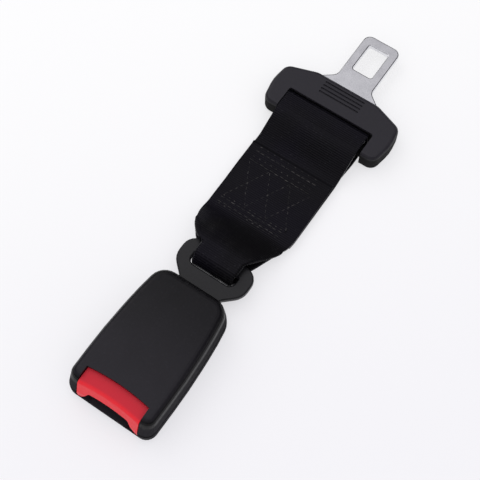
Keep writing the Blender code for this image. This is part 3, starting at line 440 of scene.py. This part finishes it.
@dataclass(frozen=True)
class WovenCloth:
    """Ribbed belt webbing, drawn on the strip's own flat map in metres.

    Args:
        name: The material's name.
        colour: Colour on the ribs.
        shade: Colour between the ribs.
        rib_pitch: Distance between ribs in millimetres.
        yarn_pitch: Distance between the warp yarns in millimetres.
        gloss: Specular level.
        sheen: Colour of the yarn's shine.
        faded: Colour of the ribs where the dye has taken less blue.
        cut: Length of the dark band at the cut tail, partly its heat-sealed edge and partly painted shade of
            the step there.
        sealed: Colour of the scorched spot and of the cut edge, where it is partly painted shade.
        stain: Place of a small scorched spot on the flat map.
        stain_size: Its width and length.
        stain_band: Squared distances, as a share of its size, at which it ends.
        yarn_wave, wander: How far the yarns and the noise bend each rib, in radians.
        wander_scale, cloud_scale, dye_scale, lint_scale: Scales of the noises.
        dye_band, lint_band: Values of the noises that go from none to full.
        rib_share: Share of the ribs in the height, the rest being the twill across them.
        rib_band: Heights that go from the valley's to the rib's colour.
        cloud_light: Least light on the ribs and how much the clouds add.
        lint_share: How far the specks of lint take their colour.
        lint: Colour of the lint.
        roughness: Least roughness and how much the clouds add to it.
        depth, relief: Height of the ribs for the shading, and how strongly it shows.
    """

    name: str
    colour: Triple
    shade: Triple
    rib_pitch: float = 1.07
    yarn_pitch: float = 0.62
    gloss: float = 0.14
    sheen: Triple = (0.86, 0.83, 1.0)
    faded: Triple = (0.0070, 0.0069, 0.0064)
    cut: float = 0.0011
    sealed: Triple = (0.0004, 0.0004, 0.0005)
    stain: Pair = (0.0170, 0.0329)
    stain_size: Pair = (0.0011, 0.0024)
    stain_band: Pair = (0.15, 0.3)
    yarn_wave: float = 0.5
    wander: float = 1.6
    wander_scale: Triple = (60.0, 400.0, 1.0)
    rib_share: float = 0.75
    rib_band: Pair = (0.1, 0.9)
    cloud_scale: float = 70.0
    cloud_light: Pair = (0.65, 0.5)
    dye_scale: float = 28.0
    dye_band: Pair = (0.4, 0.6)
    lint_scale: float = 1500.0
    lint_band: Pair = (0.74, 0.8)
    lint_share: float = 0.25
    lint: Triple = (0.05, 0.05, 0.055)
    roughness: Pair = (0.26, 0.14)
    depth: float = 0.00018
    relief: float = 0.55

    def make(self) -> bpy.types.Material:
        """Builds the material."""
        board = Board.of_material(self.name)
        flat = board.node("ShaderNodeTexCoord", {}, output="UV")
        across, along, _ = board.split(flat)
        turn = math.tau / MM
        strayed = board.node("ShaderNodeMapping", {}, flat, None, None, self.wander_scale)
        wander = board.noise(strayed, 1.0, 1.0)
        yarn = (across * (turn / self.yarn_pitch)).sine()
        rib = (along * (turn / self.rib_pitch) + yarn * self.yarn_wave + wander * self.wander).sine()
        cross = (across * (turn / self.yarn_pitch) + along * (turn / self.rib_pitch / 2)).sine()
        height = (rib * 0.5 + 0.5) * self.rib_share + (cross * 0.5 + 0.5) * (1 - self.rib_share)
        cloud = board.noise(board.place(), self.cloud_scale, 3.0)
        lint = board.noise(board.place(), self.lint_scale, 0.0).band(*self.lint_band)
        least, added = self.cloud_light
        shade = height.band(*self.rib_band) * (least + cloud * added)
        patch = board.noise(board.place(), self.dye_scale, 2.0).band(*self.dye_band)
        dye = board.blend(patch, self.colour, self.faded)
        woven = board.blend(lint * self.lint_share, board.blend(shade, self.shade, dye), self.lint)
        aside = (across - self.stain[0]) * (1.0 / self.stain_size[0])
        away = (along - self.stain[1]) * (1.0 / self.stain_size[1])
        clean = (aside * aside + away * away).band(*self.stain_band)
        # The cut tail gets a dark band: partly its sealed edge, partly painted shade of the step.
        tint = board.blend(along.band(self.cut * 0.6, self.cut).smaller(clean), self.sealed, woven)
        smooth, rougher = self.roughness
        return board.finish(
            Base_Color=tint,
            Roughness=smooth + cloud * rougher,
            Specular_IOR_Level=self.gloss,
            Specular_Tint=self.sheen,
            Normal=board.bump(height, self.depth, self.relief),
        )


@dataclass(frozen=True)
class Thread:
    """Bonded sewing thread, worn light in places.

    Args:
        name: The material's name.
        colour: Base colour.
        worn: Colour of the worn places.
        twist, wear: Scales of the noises.
        wear_band: Values of the wear that go from none to full.
        roughness, gloss: Roughness and specular level all over.
        depth, relief: Height of the twist, and how strongly it shows.
    """

    name: str
    colour: Triple
    worn: Triple
    twist: float = 3500.0
    wear: float = 420.0
    wear_band: Pair = (0.38, 0.75)
    roughness: float = 0.55
    gloss: float = 0.25
    depth: float = 0.00005
    relief: float = 0.6

    def make(self) -> bpy.types.Material:
        """Builds the material."""
        board = Board.of_material(self.name)
        twist = board.noise(board.place(), self.twist, 1.0)
        wear = board.noise(board.place(), self.wear, 1.0).band(*self.wear_band)
        return board.finish(
            Base_Color=board.blend(wear * (0.5 + twist), self.colour, self.worn),
            Roughness=self.roughness,
            Specular_IOR_Level=self.gloss,
            Normal=board.bump(twist, self.depth, self.relief),
        )


def add_object(name: str, data: Any) -> bpy.types.Object:
    """Links a new object with a mesh, a lamp or a camera to the scene."""
    made = bpy.data.objects.new(name, data)
    bpy.context.scene.collection.objects.link(made)
    return made


def add_piece(name: str, shape: bmesh.types.BMesh, material: bpy.types.Material) -> bpy.types.Object:
    """Links a new piece with a shape, which is freed, and a material to the scene."""
    mesh = bpy.data.meshes.new(name)
    shape.to_mesh(mesh)
    shape.free()
    mesh.materials.append(material)
    return add_object(name, mesh)


def ease(share: float) -> float:
    """A smooth step from 0 to 1."""
    share = min(max(share, 0.0), 1.0)
    return share * share * (3 - 2 * share)


@dataclass
class WebbingStrip:
    """The one strip of webbing: cut tail, anchor fold, underside, tongue fold and hidden end.

    The path runs in the plane of Y and Z. Every vertex of a flat grid is moved onto it, and the strip's
    edges roll under towards the inside of the loops where the strip is gathered.

    Args:
        width, thickness: Of the flat strip.
        tongue_bar, anchor_bar: Places of the bars along the belt and above the surface.
        tongue_fold, anchor_fold: How far past its bar the middle of each fold lies.
        tongue_radius, anchor_radius: Distances from the bars to the runs above and below them.
        tongue_corner: Radius of the tongue's fold at its two corners.
        tongue_level, anchor_level: How far before its bar the upper run turns level.
        tail: Place of the cut tail along the belt.
        bead, bead_run: How far the sealed edge of the tail stands up, and over what length.
        sewn_end: Place where the sewn length ends and the ramps to the anchor begin.
        hidden_end: Place of the end between the layers.
        bottom, middle, top: Levels of the three layers.
        gather_width: Width of the strip at the anchor's bar.
        gather_start: How far from the bar it begins to widen.
        left_gather: How far from the bar the left half is at full width, and the power of its curve.
        right_gather, under_gather: The same for the right half, on top and underneath.
        rounding: How much narrower the strip is round the bar, from how far past it, over what length.
        sideways, settle: How far the strip lies aside, and over what length from the bar it gets there.
        tail_sideways, under_sideways: How far the cut tail and the layer underneath lie from the rest.
        drift_in, drift_out: How far from each bar, and over what length, that layer moves aside.
        least_squeeze: How much of its width the gathered cloth keeps before its edges roll under.
        roll_radius: Radius of a rolled edge as a share of the thickness.
        roll_run: Width that has to go under before the radius is full.
        pleats: Mean height of the pleats in the gather, and the heights of their two waves.
        pleat_turns: Turn of each of the two waves per millimetre, and where it starts.
        pleat_run: How far before the full width the pleats end, and over what length.
        waves: Height of the slight waves of the flat cloth.
        wave_turns: Their turn per millimetre along and across the strip, and where it starts across.
        edge, edge_angle: Rounding of the cut edges, and the angle in degrees above which it is made.
        columns, pitch: Cells across the strip, and the length of a cell.
        path, lengths: Points along the middle of the strip, and the length up to each.
    """

    width: float = 46.8
    thickness: float = 1.1
    tongue_bar: Pair = (58.95, 5.25)
    anchor_bar: Pair = (-29.15, 6.4)
    tongue_fold: float = 3.0
    anchor_fold: float = 3.0
    tongue_radius: float = 4.4
    tongue_corner: float = 2.0
    tongue_level: float = 3.1
    anchor_radius: float = 5.33
    anchor_level: float = 3.5
    tail: float = 34.65
    bead: float = 0.5
    bead_run: float = 1.6
    sewn_end: float = -5.35
    hidden_end: float = -4.2
    bottom: float = 0.82
    middle: float = 2.12
    top: float = 3.4
    gather_width: float = 22.9
    gather_start: float = 1.9
    left_gather: Pair = (21.0, 0.6)
    right_gather: Pair = (30.0, 1.03)
    under_gather: Pair = (34.0, 1.03)
    rounding: Triple = (0.6, 2.0, 6.0)
    sideways: float = -0.65
    settle: float = 20.0
    tail_sideways: float = -0.35
    under_sideways: float = -0.8
    drift_in: Pair = (3.0, 15.0)
    drift_out: Pair = (5.0, 15.0)
    least_squeeze: float = 0.95
    roll_radius: float = 0.52
    roll_run: float = 1.8
    pleats: Triple = (0.10, 0.07, 0.03)
    pleat_turns: tuple[Pair, Pair] = ((0.55, 0.8), (1.0, -0.5))
    pleat_run: Pair = (2.0, 18.0)
    waves: float = 0.12
    wave_turns: Triple = (0.31, 0.11, 1.0)
    edge: float = 0.25
    edge_angle: float = 60.0
    columns: int = 64
    pitch: float = 0.6
    path: list[Vector] = field(default_factory=list)
    lengths: list[float] = field(default_factory=list)

    def __post_init__(self) -> None:
        """Lays the path out and measures it."""
        self.path = self._lay_path()
        self.lengths = [0.0]
        for before, after in zip(self.path, self.path[1:]):
            self.lengths.append(self.lengths[-1] + (after - before).length)

    def _run(self, start: Pair, end: Pair) -> list[Vector]:
        """Points along a smooth ramp, at about the pitch, without its last."""
        steps = max(2, round(abs(end[0] - start[0]) / self.pitch))
        rise = end[1] - start[1]
        points = []
        for step in range(steps):
            share = step / steps
            climb = 0.3 * share + 0.7 * ease(share)
            points.append(Vector((start[0] + (end[0] - start[0]) * share, start[1] + rise * climb)))
        return points

    def _fold(self, centre: Pair, radius: float, corner: float, first: float) -> list[Vector]:
        """Points along a half turn with rounded corners, without its last.

        Args:
            centre: Middle of the turn.
            radius: Distance from the middle to the strip's run above and below.
            corner: Radius of the two corners, as large as the radius for a plain half circle.
            first: Direction of the first point in degrees, 90 or -90.

        Returns:
            The points, turned towards the side that lies half a turn on.
        """
        steps = max(4, round(math.pi / 2 * corner / (self.pitch / 2)))
        outward = math.copysign(1.0, -first)
        points = []
        for half in (0, 1):
            level = math.copysign(radius - corner, first if half == 0 else -first)
            middle = Vector((centre[0] + outward * (radius - corner), centre[1] + level))
            for step in range(steps + 1):
                angle = math.radians(first + 90 * (half + step / steps))
                point = middle + Vector((math.cos(angle), math.sin(angle))) * corner
                if not points or (point - points[-1]).length > 0.01:
                    points.append(point)
        return points[:-1]

    def _lay_path(self) -> list[Vector]:
        """The centre of the strip from its cut tail to its hidden end."""
        anchor = (self.anchor_bar[0] - self.anchor_fold, self.anchor_bar[1])
        tongue = (self.tongue_bar[0] + self.tongue_fold, self.tongue_bar[1])
        anchor_top = (self.anchor_bar[0] + self.anchor_level, anchor[1] + self.anchor_radius)
        anchor_low = anchor[1] - self.anchor_radius
        tongue_top = (self.tongue_bar[0] - self.tongue_level, tongue[1] + self.tongue_radius)
        points = self._run((self.tail, self.top), (self.sewn_end, self.top))
        points += self._run((self.sewn_end, self.top), anchor_top)
        points += self._run(anchor_top, (anchor[0], anchor_top[1]))
        points += self._fold(anchor, self.anchor_radius, self.anchor_radius, 90)
        points += self._run((anchor[0], anchor_low), (self.sewn_end, self.bottom))
        points += self._run((self.sewn_end, self.bottom), (tongue[0], self.bottom))
        points += self._fold(tongue, self.tongue_radius, self.tongue_corner, -90)
        points += self._run((tongue[0], tongue_top[1]), tongue_top)
        points += self._run(tongue_top, (self.tail, self.middle))
        points += self._run((self.tail, self.middle), (self.hidden_end, self.middle))
        points.append(Vector((self.hidden_end, self.middle)))
        return points

    @property
    def length(self) -> float:
        """Cut length in millimetres."""
        return self.lengths[-1]

    def half_width(self, y: float, right: bool, under: bool) -> float:
        """Half the strip's width as it lies.

        Args:
            y: Place along the belt.
            right: Whether it is the right half, which is drawn in over a longer stretch.
            under: Whether it is the layer underneath, which spreads wider than the one on top.

        Returns:
            The distance from the strip's centre line to its folded edge.
        """
        end, power = self.left_gather
        if right:
            end, power = self.under_gather if under else self.right_gather
        past = (y - self.anchor_bar[0] - self.gather_start) / (end - self.gather_start)
        share = math.sin(math.pi / 2 * min(max(past, 0.0), 1.0) ** power)
        most, begin, run = self.rounding
        rounding = most * ease((self.anchor_bar[0] - begin - y) / run)
        return (self.gather_width + (self.width - self.gather_width) * share) / 2 - rounding

    def centre_line(self, y: float, along: float, under: bool) -> float:
        """How far to one side the strip's centre line lies."""
        settled = ease((y - self.anchor_bar[0]) / self.settle)
        tail = self.tail_sideways * (1 - ease(along / (self.tail - self.sewn_end)))
        drift = 0.0
        if under:
            (start, grow), (stop, shrink) = self.drift_in, self.drift_out
            drift = ease((y - self.anchor_bar[0] - start) / grow)
            drift *= ease((self.tongue_bar[0] - stop - y) / shrink)
        return self.sideways * settled + tail + self.under_sideways * drift

    def at(self, along: float) -> tuple[Vector, Vector]:
        """The path's point and its inward normal at a length along it."""
        along = min(max(along, 0.0), self.length - 1e-6)
        low, high = 0, len(self.lengths) - 1
        while high - low > 1:
            middle = (low + high) // 2
            low, high = (middle, high) if self.lengths[middle] <= along else (low, middle)
        share = (along - self.lengths[low]) / (self.lengths[high] - self.lengths[low])
        before = self.path[max(low - 1, 0)]
        after = self.path[min(high + 1, len(self.path) - 1)]
        heading = (after - before).normalized()
        return self.path[low].lerp(self.path[high], share), Vector((-heading.y, heading.x))

    def ripple(self, across: float, along: float, y: float) -> float:
        """Height of the soft folds that run into the gather and of the cloth's slight waves."""
        margin, run = self.pleat_run
        gathered = ease((self.right_gather[0] - margin - (y - self.anchor_bar[0])) / run)
        pleats, *heights = self.pleats
        for height, (turn, start) in zip(heights, self.pleat_turns):
            pleats += height * math.sin(across * turn + start)
        lengthwise, crosswise, start = self.wave_turns
        waves = self.waves * math.sin(along * lengthwise) * math.sin(across * crosswise + start)
        return gathered * pleats + waves * (1 - gathered)

    def lift(self, across: float, along: float, proud: float = 0.0) -> Vector:
        """Where a point of the flat strip goes, in metres.

        Args:
            across: Place across the flat strip.
            along: Place along it from the cut tail.
            proud: Distance out from the middle of the cloth, away from the loops' inside.

        Returns:
            The point in the row frame.
        """
        point, inward = self.at(along)
        under = inward.y > 0.5
        half = self.half_width(point.x, across >= 0, under)
        squeeze = max(half / (self.width / 2), self.least_squeeze)
        excess = squeeze * self.width / 2 - half
        roll = self.thickness * self.roll_radius * ease(excess / self.roll_run)
        x = abs(across) * squeeze
        depth = 0.0
        beyond = x - (half - roll)
        if roll > 0 and beyond > 0:
            turn = min(beyond / roll, math.pi)
            depth = roll * (1 - math.cos(turn))
            x = half - roll + roll * math.sin(turn) - max(beyond - math.pi * roll, 0.0)
        level = self.ripple(across, along, point.x) + self.bead * ease(1 - along / self.bead_run)
        place = point + inward * (depth - level - proud)
        side = 1.0 if across >= 0 else -1.0
        return Vector((side * x + self.centre_line(point.x, along, under), place.x, place.y)) * MM

    def build(self, material: bpy.types.Material, sewn: list[bpy.types.Object]) -> bpy.types.Object:
        """Moves a flat grid onto the path, gives it its thickness and maps it flat.

        Args:
            material: The cloth.
            sewn: The pieces sewn onto it; not used.

        Returns:
            The strip.
        """
        rows = round(self.length / self.pitch)
        shape = bmesh.new()
        bmesh.ops.create_grid(shape, x_segments=self.columns, y_segments=rows, size=0.5, calc_uvs=True)
        layer = shape.loops.layers.uv.verify()
        flat = {}
        for vertex in shape.verts:
            across = vertex.co.x * self.width
            along = (vertex.co.y + 0.5) * self.length
            flat[vertex] = (across, along)
        for face in shape.faces:
            for loop in face.loops:
                across, along = flat[loop.vert]
                loop[layer].uv = (across * MM, along * MM)
        for vertex, (across, along) in flat.items():
            vertex.co = self.lift(across, along)
        strip = add_piece("webbing_strip", shape, material)
        strip.data.shade_smooth()
        thicken = strip.modifiers.new("thickness", "SOLIDIFY")
        thicken.thickness = self.thickness * MM
        thicken.offset = 0.0
        thicken.use_even_offset = False
        soften = strip.modifiers.new("cut_edge", "BEVEL")
        soften.width = self.edge * MM
        soften.segments = 2
        soften.limit_method = "ANGLE"
        soften.angle_limit = math.radians(self.edge_angle)
        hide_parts("webbing")
        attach(strip, Body.STRAP.value)
        return strip


@dataclass(frozen=True)
class StitchRow:
    """One row of stitches.

    Args:
        corners: The row's corners in the row frame, in millimetres.
        stitch: Length of a stitch.
        gap: Cloth between two stitches.
        sink: How far the thread's middle lies under the cloth's face.
    """

    corners: tuple[Pair, ...]
    stitch: float
    gap: float
    sink: float = 0.06


@dataclass
class Stitching:
    """The box of stitches that holds the layers together: rows across both ends and two crossing zig-zags.

    Args:
        strip: The strip that is sewn.
        thread: Thickness of the thread.
        stray, stray_turns: How far a stitch strays, and the turn of that per millimetre each way.
        middle, half_width: Middle of the rows across the belt, and half their length.
        upper_rows, lower_rows: Place, stitch and gap of each row near the tail and near the anchor.
        zigzag_middle: Middle of the zig-zags across the belt.
        zigzag_top, zigzag_foot: Places of their corners along the belt.
        zigzags: How many strokes each has.
        zigzag_stitch: Their stitch, gap and sink.
    """

    strip: WebbingStrip
    thread: float = 0.36
    stray: float = 0.16
    stray_turns: Pair = (7.3, 3.1)
    middle: float = -1.95
    half_width: float = 18.0
    upper_rows: tuple[Triple, ...] = (
        (33.2, 1.2, 2.6),
        (30.45, 2.5, 0.45),
        (27.2, 1.2, 2.2),
        (24.75, 2.5, 0.45),
    )
    lower_rows: tuple[Triple, ...] = (
        (1.2, 1.1, 1.9),
        (-0.2, 2.5, 0.45),
        (-2.75, 2.5, 0.45),
        (-3.9, 1.1, 2.3),
    )
    zigzag_middle: float = -1.0
    zigzag_top: float = 24.25
    zigzag_foot: float = 1.25
    zigzags: int = 3
    zigzag_stitch: Triple = (2.4, 0.6, 0.115)

    def rows(self) -> list[StitchRow]:
        """Every row in the order in which it was sewn."""
        left, right = self.middle - self.half_width, self.middle + self.half_width
        rows = []
        for y, stitch, gap in self.upper_rows + self.lower_rows:
            rows.append(StitchRow(((left, y), (right, y)), stitch, gap))
        left = self.zigzag_middle - self.half_width
        step = 2 * self.half_width / self.zigzags
        for phase in (0, 1):
            corners = []
            for turn in range(self.zigzags + 1):
                level = self.zigzag_top if (turn + phase) % 2 == 0 else self.zigzag_foot
                corners.append((left + step * turn, level))
            rows.append(StitchRow(tuple(corners), *self.zigzag_stitch))
        return rows

    def _place(self, point: Vector, sink: float) -> Vector:
        """A point of the row frame as it lies on the top layer of the strip, a little off its row."""
        turn_x, turn_y = self.stray_turns
        stray = self.stray * math.sin(point.x * turn_x + point.y * turn_y)
        proud = self.strip.thickness / 2 - sink
        return self.strip.lift(point.x + stray, self.strip.tail - point.y - stray, proud=proud)

    def _add_stitch(self, shape: bmesh.types.BMesh, start: Vector, end: Vector, sink: float) -> None:
        """Adds one stitch, a thread that bows out of the cloth between two holes."""
        first, last = self._place(start, sink), self._place(end, sink)
        along = last - first
        made = bmesh.ops.create_uvsphere(shape, u_segments=8, v_segments=6, radius=0.5)
        turn = Vector((0, 0, 1)).rotation_difference(along).to_matrix().to_4x4()
        size = Matrix.Diagonal((self.thread * MM, self.thread * MM, along.length, 1.0))
        matrix = Matrix.Translation((first + last) / 2) @ turn @ size
        bmesh.ops.transform(shape, verts=made["verts"], matrix=matrix)

    def _sew(self, shape: bmesh.types.BMesh, row: StitchRow) -> int:
        """Adds the stitches of one row.

        Args:
            shape: The mesh that takes them.
            row: The row.

        Returns:
            How many were added.
        """
        added = 0
        pitch = row.stitch + row.gap
        for first, last in zip(row.corners, row.corners[1:]):
            start, end = Vector(first), Vector(last)
            count = max(1, round((end - start).length / pitch))
            half = row.stitch / pitch / 2
            for index in range(count):
                head = start.lerp(end, (index + 0.5 - half) / count)
                foot = start.lerp(end, (index + 0.5 + half) / count)
                self._add_stitch(shape, head, foot, row.sink)
                added += 1
        return added

    def build(self, material: bpy.types.Material) -> bpy.types.Object:
        """Sews every row as one piece.

        Args:
            material: The thread.

        Returns:
            The stitches.
        """
        shape = bmesh.new()
        count = sum(self._sew(shape, row) for row in self.rows())
        thread = add_piece("stitching", shape, material)
        thread.data.shade_smooth()
        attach(thread, Body.STRAP.value)
        LOG.info("%d stitches", count)
        return thread


@dataclass(frozen=True)
class CoilSpring:
    """A spring of the buckle, copied from the frame's node with a finish of its own.

    Args:
        node: The frame's node that it stands for.
        joint: The joint that presses it; not used.
        fixed_end: Place of the end that stays, in metres along the belt; not used.
        travel: The joint's travel in metres; not used.
    """

    node: str
    joint: str
    fixed_end: float
    travel: float

    def build(self, source: bpy.types.Object, material: bpy.types.Material) -> bpy.types.Object:
        """Copies the node's wire, gives it the wire's finish and hides the node.

        Args:
            source: The frame's node.
            material: The wire's finish.

        Returns:
            The spring.
        """
        spring = add_object(f"{self.node}_wire", source.data.copy())
        spring.matrix_world = source.matrix_world
        spring.data.materials.clear()
        spring.data.materials.append(material)
        free_end = min((spring.matrix_world @ vertex.co).y for vertex in spring.data.vertices)
        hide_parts(self.node)
        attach(spring, Body.BUCKLE.value)
        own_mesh(spring)
        return spring


@dataclass(frozen=True)
class Springs:
    """The two springs of the button and the one of the ejector."""

    coils: tuple[CoilSpring, ...] = (
        CoilSpring("button_spring_left", "button_press", -0.06375, 0.005),
        CoilSpring("button_spring_right", "button_press", -0.06375, 0.005),
        CoilSpring("ejector_spring", "ejector_slide", -0.06985, 0.010),
    )

    def build(self, nodes: dict[str, bpy.types.Object], material: bpy.types.Material) -> None:
        """Adds every spring."""
        for coil in self.coils:
            coil.build(nodes[coil.node], material)


@dataclass(frozen=True)
class SoftBox:
    """A square lamp that faces the belt."""

    name: str
    place: Triple
    size: float
    power: float
    colour: Triple = (1.0, 0.995, 0.985)


@dataclass(frozen=True)
class Studio:
    """White table, soft light and the camera at the photograph's angle.

    Angles are in degrees and the sensor in millimetres. Gloss shows a bright ceiling, round
    the direction given, in a dark room. The camera sees the lit floor mixed by paper_share with glowing
    paper, on which light is painted dimmer towards the near right corner.
    """

    azimuth: float = 34.26
    elevation: float = 65.44
    roll: float = 0.11
    distance: float = 0.54606
    target: Triple = (-0.0003, -0.0130, 0.0)
    focal_pixels: float = 1133.1
    picture: float = 480.0
    sensor: float = 36.0
    sky_top: float = 1.02
    sky_rim: float = 0.72
    sky_band: Pair = (-0.1, 1.0)
    sky_colour: Triple = (0.97, 0.96, 1.0)
    ceiling: Triple = (-0.15, 0.15, 0.977)
    ceiling_span: Pair = (0.75, 1.0)
    room_bright: float = 0.86
    room_dark: float = 0.015
    floor_colour: Triple = (0.935, 0.935, 0.935)
    floor_size: float = 3.0
    floor_drop: float = 0.00002
    floor_roughness: float = 0.9
    paper_painted_dim: Triple = (0.915, 0.905, 0.945)
    paper_far: Triple = (1.0, 1.0, 1.0)
    paper_band: Pair = (-0.22, 0.22)
    paper_share: float = 0.62
    boxes: tuple[SoftBox, ...] = (
        SoftBox("key_left", (-0.75, 0.30, 0.75), 0.7, 1.5),
        SoftBox("fill_front", (-0.10, -0.95, 0.55), 0.7, 0.4),
    )

    def light(self) -> None:
        """Sets the sky for diffuse light, the room that gloss shows, the white backdrop and the lamps."""
        world = bpy.data.worlds.new("studio")
        bpy.context.scene.world = world
        world.use_nodes = True
        board = Board(world.node_tree)
        for node in list(board.tree.nodes):
            board.tree.nodes.remove(node)
        direction = board.node("ShaderNodeTexCoord", {}, output="Generated")
        _, _, height = board.split(direction)
        sky = height.band(*self.sky_band) * (self.sky_top - self.sky_rim) + self.sky_rim
        product = {"operation": "DOT_PRODUCT"}
        facing = board.node("ShaderNodeVectorMath", product, direction, self.ceiling, output=1)
        room = facing.band(*self.ceiling_span) * (self.room_bright - self.room_dark) + self.room_dark
        camera, gloss, glass = board.rays()
        dome = board.node("ShaderNodeBackground", {}, self.sky_colour, sky)
        shown = room.larger(camera).larger(glass)
        backdrop = board.node("ShaderNodeBackground", {}, self.sky_colour, shown)
        seen = camera.larger(gloss).larger(glass)
        both = board.node("ShaderNodeMixShader", {}, seen, dome, backdrop)
        board.node("ShaderNodeOutputWorld", {}, both, output=None)
        for box in self.boxes:
            lamp = bpy.data.lights.new(box.name, "AREA")
            lamp.shape = "SQUARE"
            lamp.size = box.size
            lamp.energy = box.power
            lamp.color = box.colour
            holder = add_object(box.name, lamp)
            holder.location = box.place
            holder.rotation_euler = Vector(box.place).to_track_quat("Z", "Y").to_euler()

    def table(self) -> bpy.types.Object:
        """A pale floor that keeps the shadow, partly shown as glowing paper with painted light, dimmer
        towards the near right corner.
        """
        shape = bmesh.new()
        bmesh.ops.create_grid(shape, x_segments=1, y_segments=1, size=self.floor_size)
        bmesh.ops.translate(shape, verts=shape.verts, vec=(0, 0, -self.floor_drop))
        board = Board.of_material("table_paper")
        rough = self.floor_roughness
        material = board.finish(Base_Color=self.floor_colour, Roughness=rough, Specular_IOR_Level=0.0)
        camera, gloss, glass = board.rays()
        across, along, _ = board.split(board.place())
        # Painted light: the paper's glow is dimmer towards the near right corner.
        paper = board.blend((along - across).band(*self.paper_band), self.paper_painted_dim, self.paper_far)
        glow = board.node("ShaderNodeEmission", {}, paper, 1.0)
        lit = Signal(board, board.shader.outputs[0])
        seen = camera.larger(gloss).larger(glass) * self.paper_share
        mixed = board.node("ShaderNodeMixShader", {}, seen, lit, glow)
        board.tree.links.new(mixed.socket, board.tree.nodes["Material Output"].inputs[0])
        table = add_piece("table", shape, material)
        return table

    def camera(self) -> bpy.types.Object:
        """Sets the camera."""
        azimuth, elevation = math.radians(self.azimuth), math.radians(self.elevation)
        back = Vector((math.sin(azimuth), -math.cos(azimuth), 0)) * math.cos(elevation)
        back.z = math.sin(elevation)
        lens = bpy.data.cameras.new("camera")
        lens.sensor_width = self.sensor
        lens.lens = self.sensor * self.focal_pixels / self.picture
        lens.clip_start = 0.01
        holder = add_object("camera", lens)
        turn = back.to_track_quat("Z", "Y").to_matrix()
        rolled = turn @ Matrix.Rotation(math.radians(self.roll), 3, "Z")
        holder.rotation_euler = rolled.to_euler()
        holder.location = Vector(self.target) + back * self.distance
        bpy.context.scene.camera = holder
        return holder


@dataclass(frozen=True)
class Finishes:
    """Which finish each kept piece of the frame gets."""

    # Painted shade: the grip's walls, its rims and the lower sloping top take the dark colour.
    grip: MouldedPlastic = MouldedPlastic(
        "grip_black",
        (0.0150, 0.0140, 0.0180),
        (0.022, 0.0205, 0.0260),
        0.36,
        gloss=0.26,
        top=(0.0078, 0.0104),
        wall=(0.0080, 0.0094),
    )
    # Painted shade on the casing's rims and parting line, and painted light towards its front.
    casing: MouldedPlastic = MouldedPlastic(
        "casing_black",
        (0.0012, 0.0010, 0.0018),
        (0.0185, 0.0168, 0.0215),
        0.38,
        gloss=0.21,
        top=(0.0160, 0.0177),
        wall=(0.0115, 0.0140),
        wall_share=0.9,
        seam_shade=(0.0066, 0.0009),
        painted_light_run=(-0.040, -0.112),
    )
    button: ButtonPlastic = ButtonPlastic(
        "button_red", (0.52, 0.007, 0.020), (0.57, 0.014, 0.030), 0.4, grain=1800.0, depth=0.00002, gloss=0.25
    )
    slider: MouldedPlastic = MouldedPlastic("slider_white", (0.6, 0.6, 0.57), (0.5, 0.5, 0.46), 0.5)
    tongue: RolledSteel = RolledSteel("tongue_plated", (0.86, 0.86, 0.885), (0.74, 0.74, 0.77), 0.30)
    anchor: RolledSteel = RolledSteel(
        "anchor_coated", (0.0042, 0.0040, 0.0056), (0.0075, 0.0072, 0.0092), 0.38, metallic=0.0, gloss=0.44
    )
    frame: RolledSteel = RolledSteel("frame_plated", (0.45, 0.45, 0.46), (0.33, 0.33, 0.33), 0.42)
    spring: SpringWire = SpringWire("spring_wire", (0.6, 0.6, 0.6))
    cloth: WovenCloth = WovenCloth("belt_cloth", (0.0070, 0.0063, 0.0096), (0.0016, 0.0014, 0.0026))
    thread: Thread = Thread("belt_thread", (0.017, 0.016, 0.0158), (0.085, 0.080, 0.076))

    def dress(self, nodes: dict[str, bpy.types.Object]) -> None:
        """Assigns the finishes to the frame's nodes, which are given by name."""
        pins = ("latch_pivot_pin", "lock_pin", "rivet_left", "rivet_right")
        wanted = {
            self.grip: ("tongue_grip",),
            self.casing: ("upper_cover", "lower_cover"),
            self.button: ("press_button",),
            self.slider: ("ejector",),
            self.tongue: ("tongue_plate",),
            self.anchor: ("anchor_plate",),
            self.frame: ("buckle_frame", "latch_plate", *pins),
        }
        for finish, names in wanted.items():
            material = finish.make()
            for name in names:
                for slot in nodes[name].material_slots:
                    slot.material = material
                LOG.info("%s gets %s", name, material.name)


def main() -> None:
    """Builds the dressed model and its studio."""
    logging.basicConfig(level=logging.INFO, format="%(message)s")
    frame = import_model()
    studio = Studio()
    studio.camera()
    studio.light()
    studio.table()
    finishes = Finishes()
    finishes.dress(frame["nodes"])
    strip = WebbingStrip()
    Springs().build(frame["nodes"], finishes.spring.make())
    stitches = Stitching(strip).build(finishes.thread.make())
    strip.build(finishes.cloth.make(), [stitches])
    LOG.info("webbing strip, %.1f mm wide and %.1f mm long", strip.width, strip.length)
    bpy.context.scene.view_settings.view_transform = "Standard"


if __name__ == "__main__":
    main()
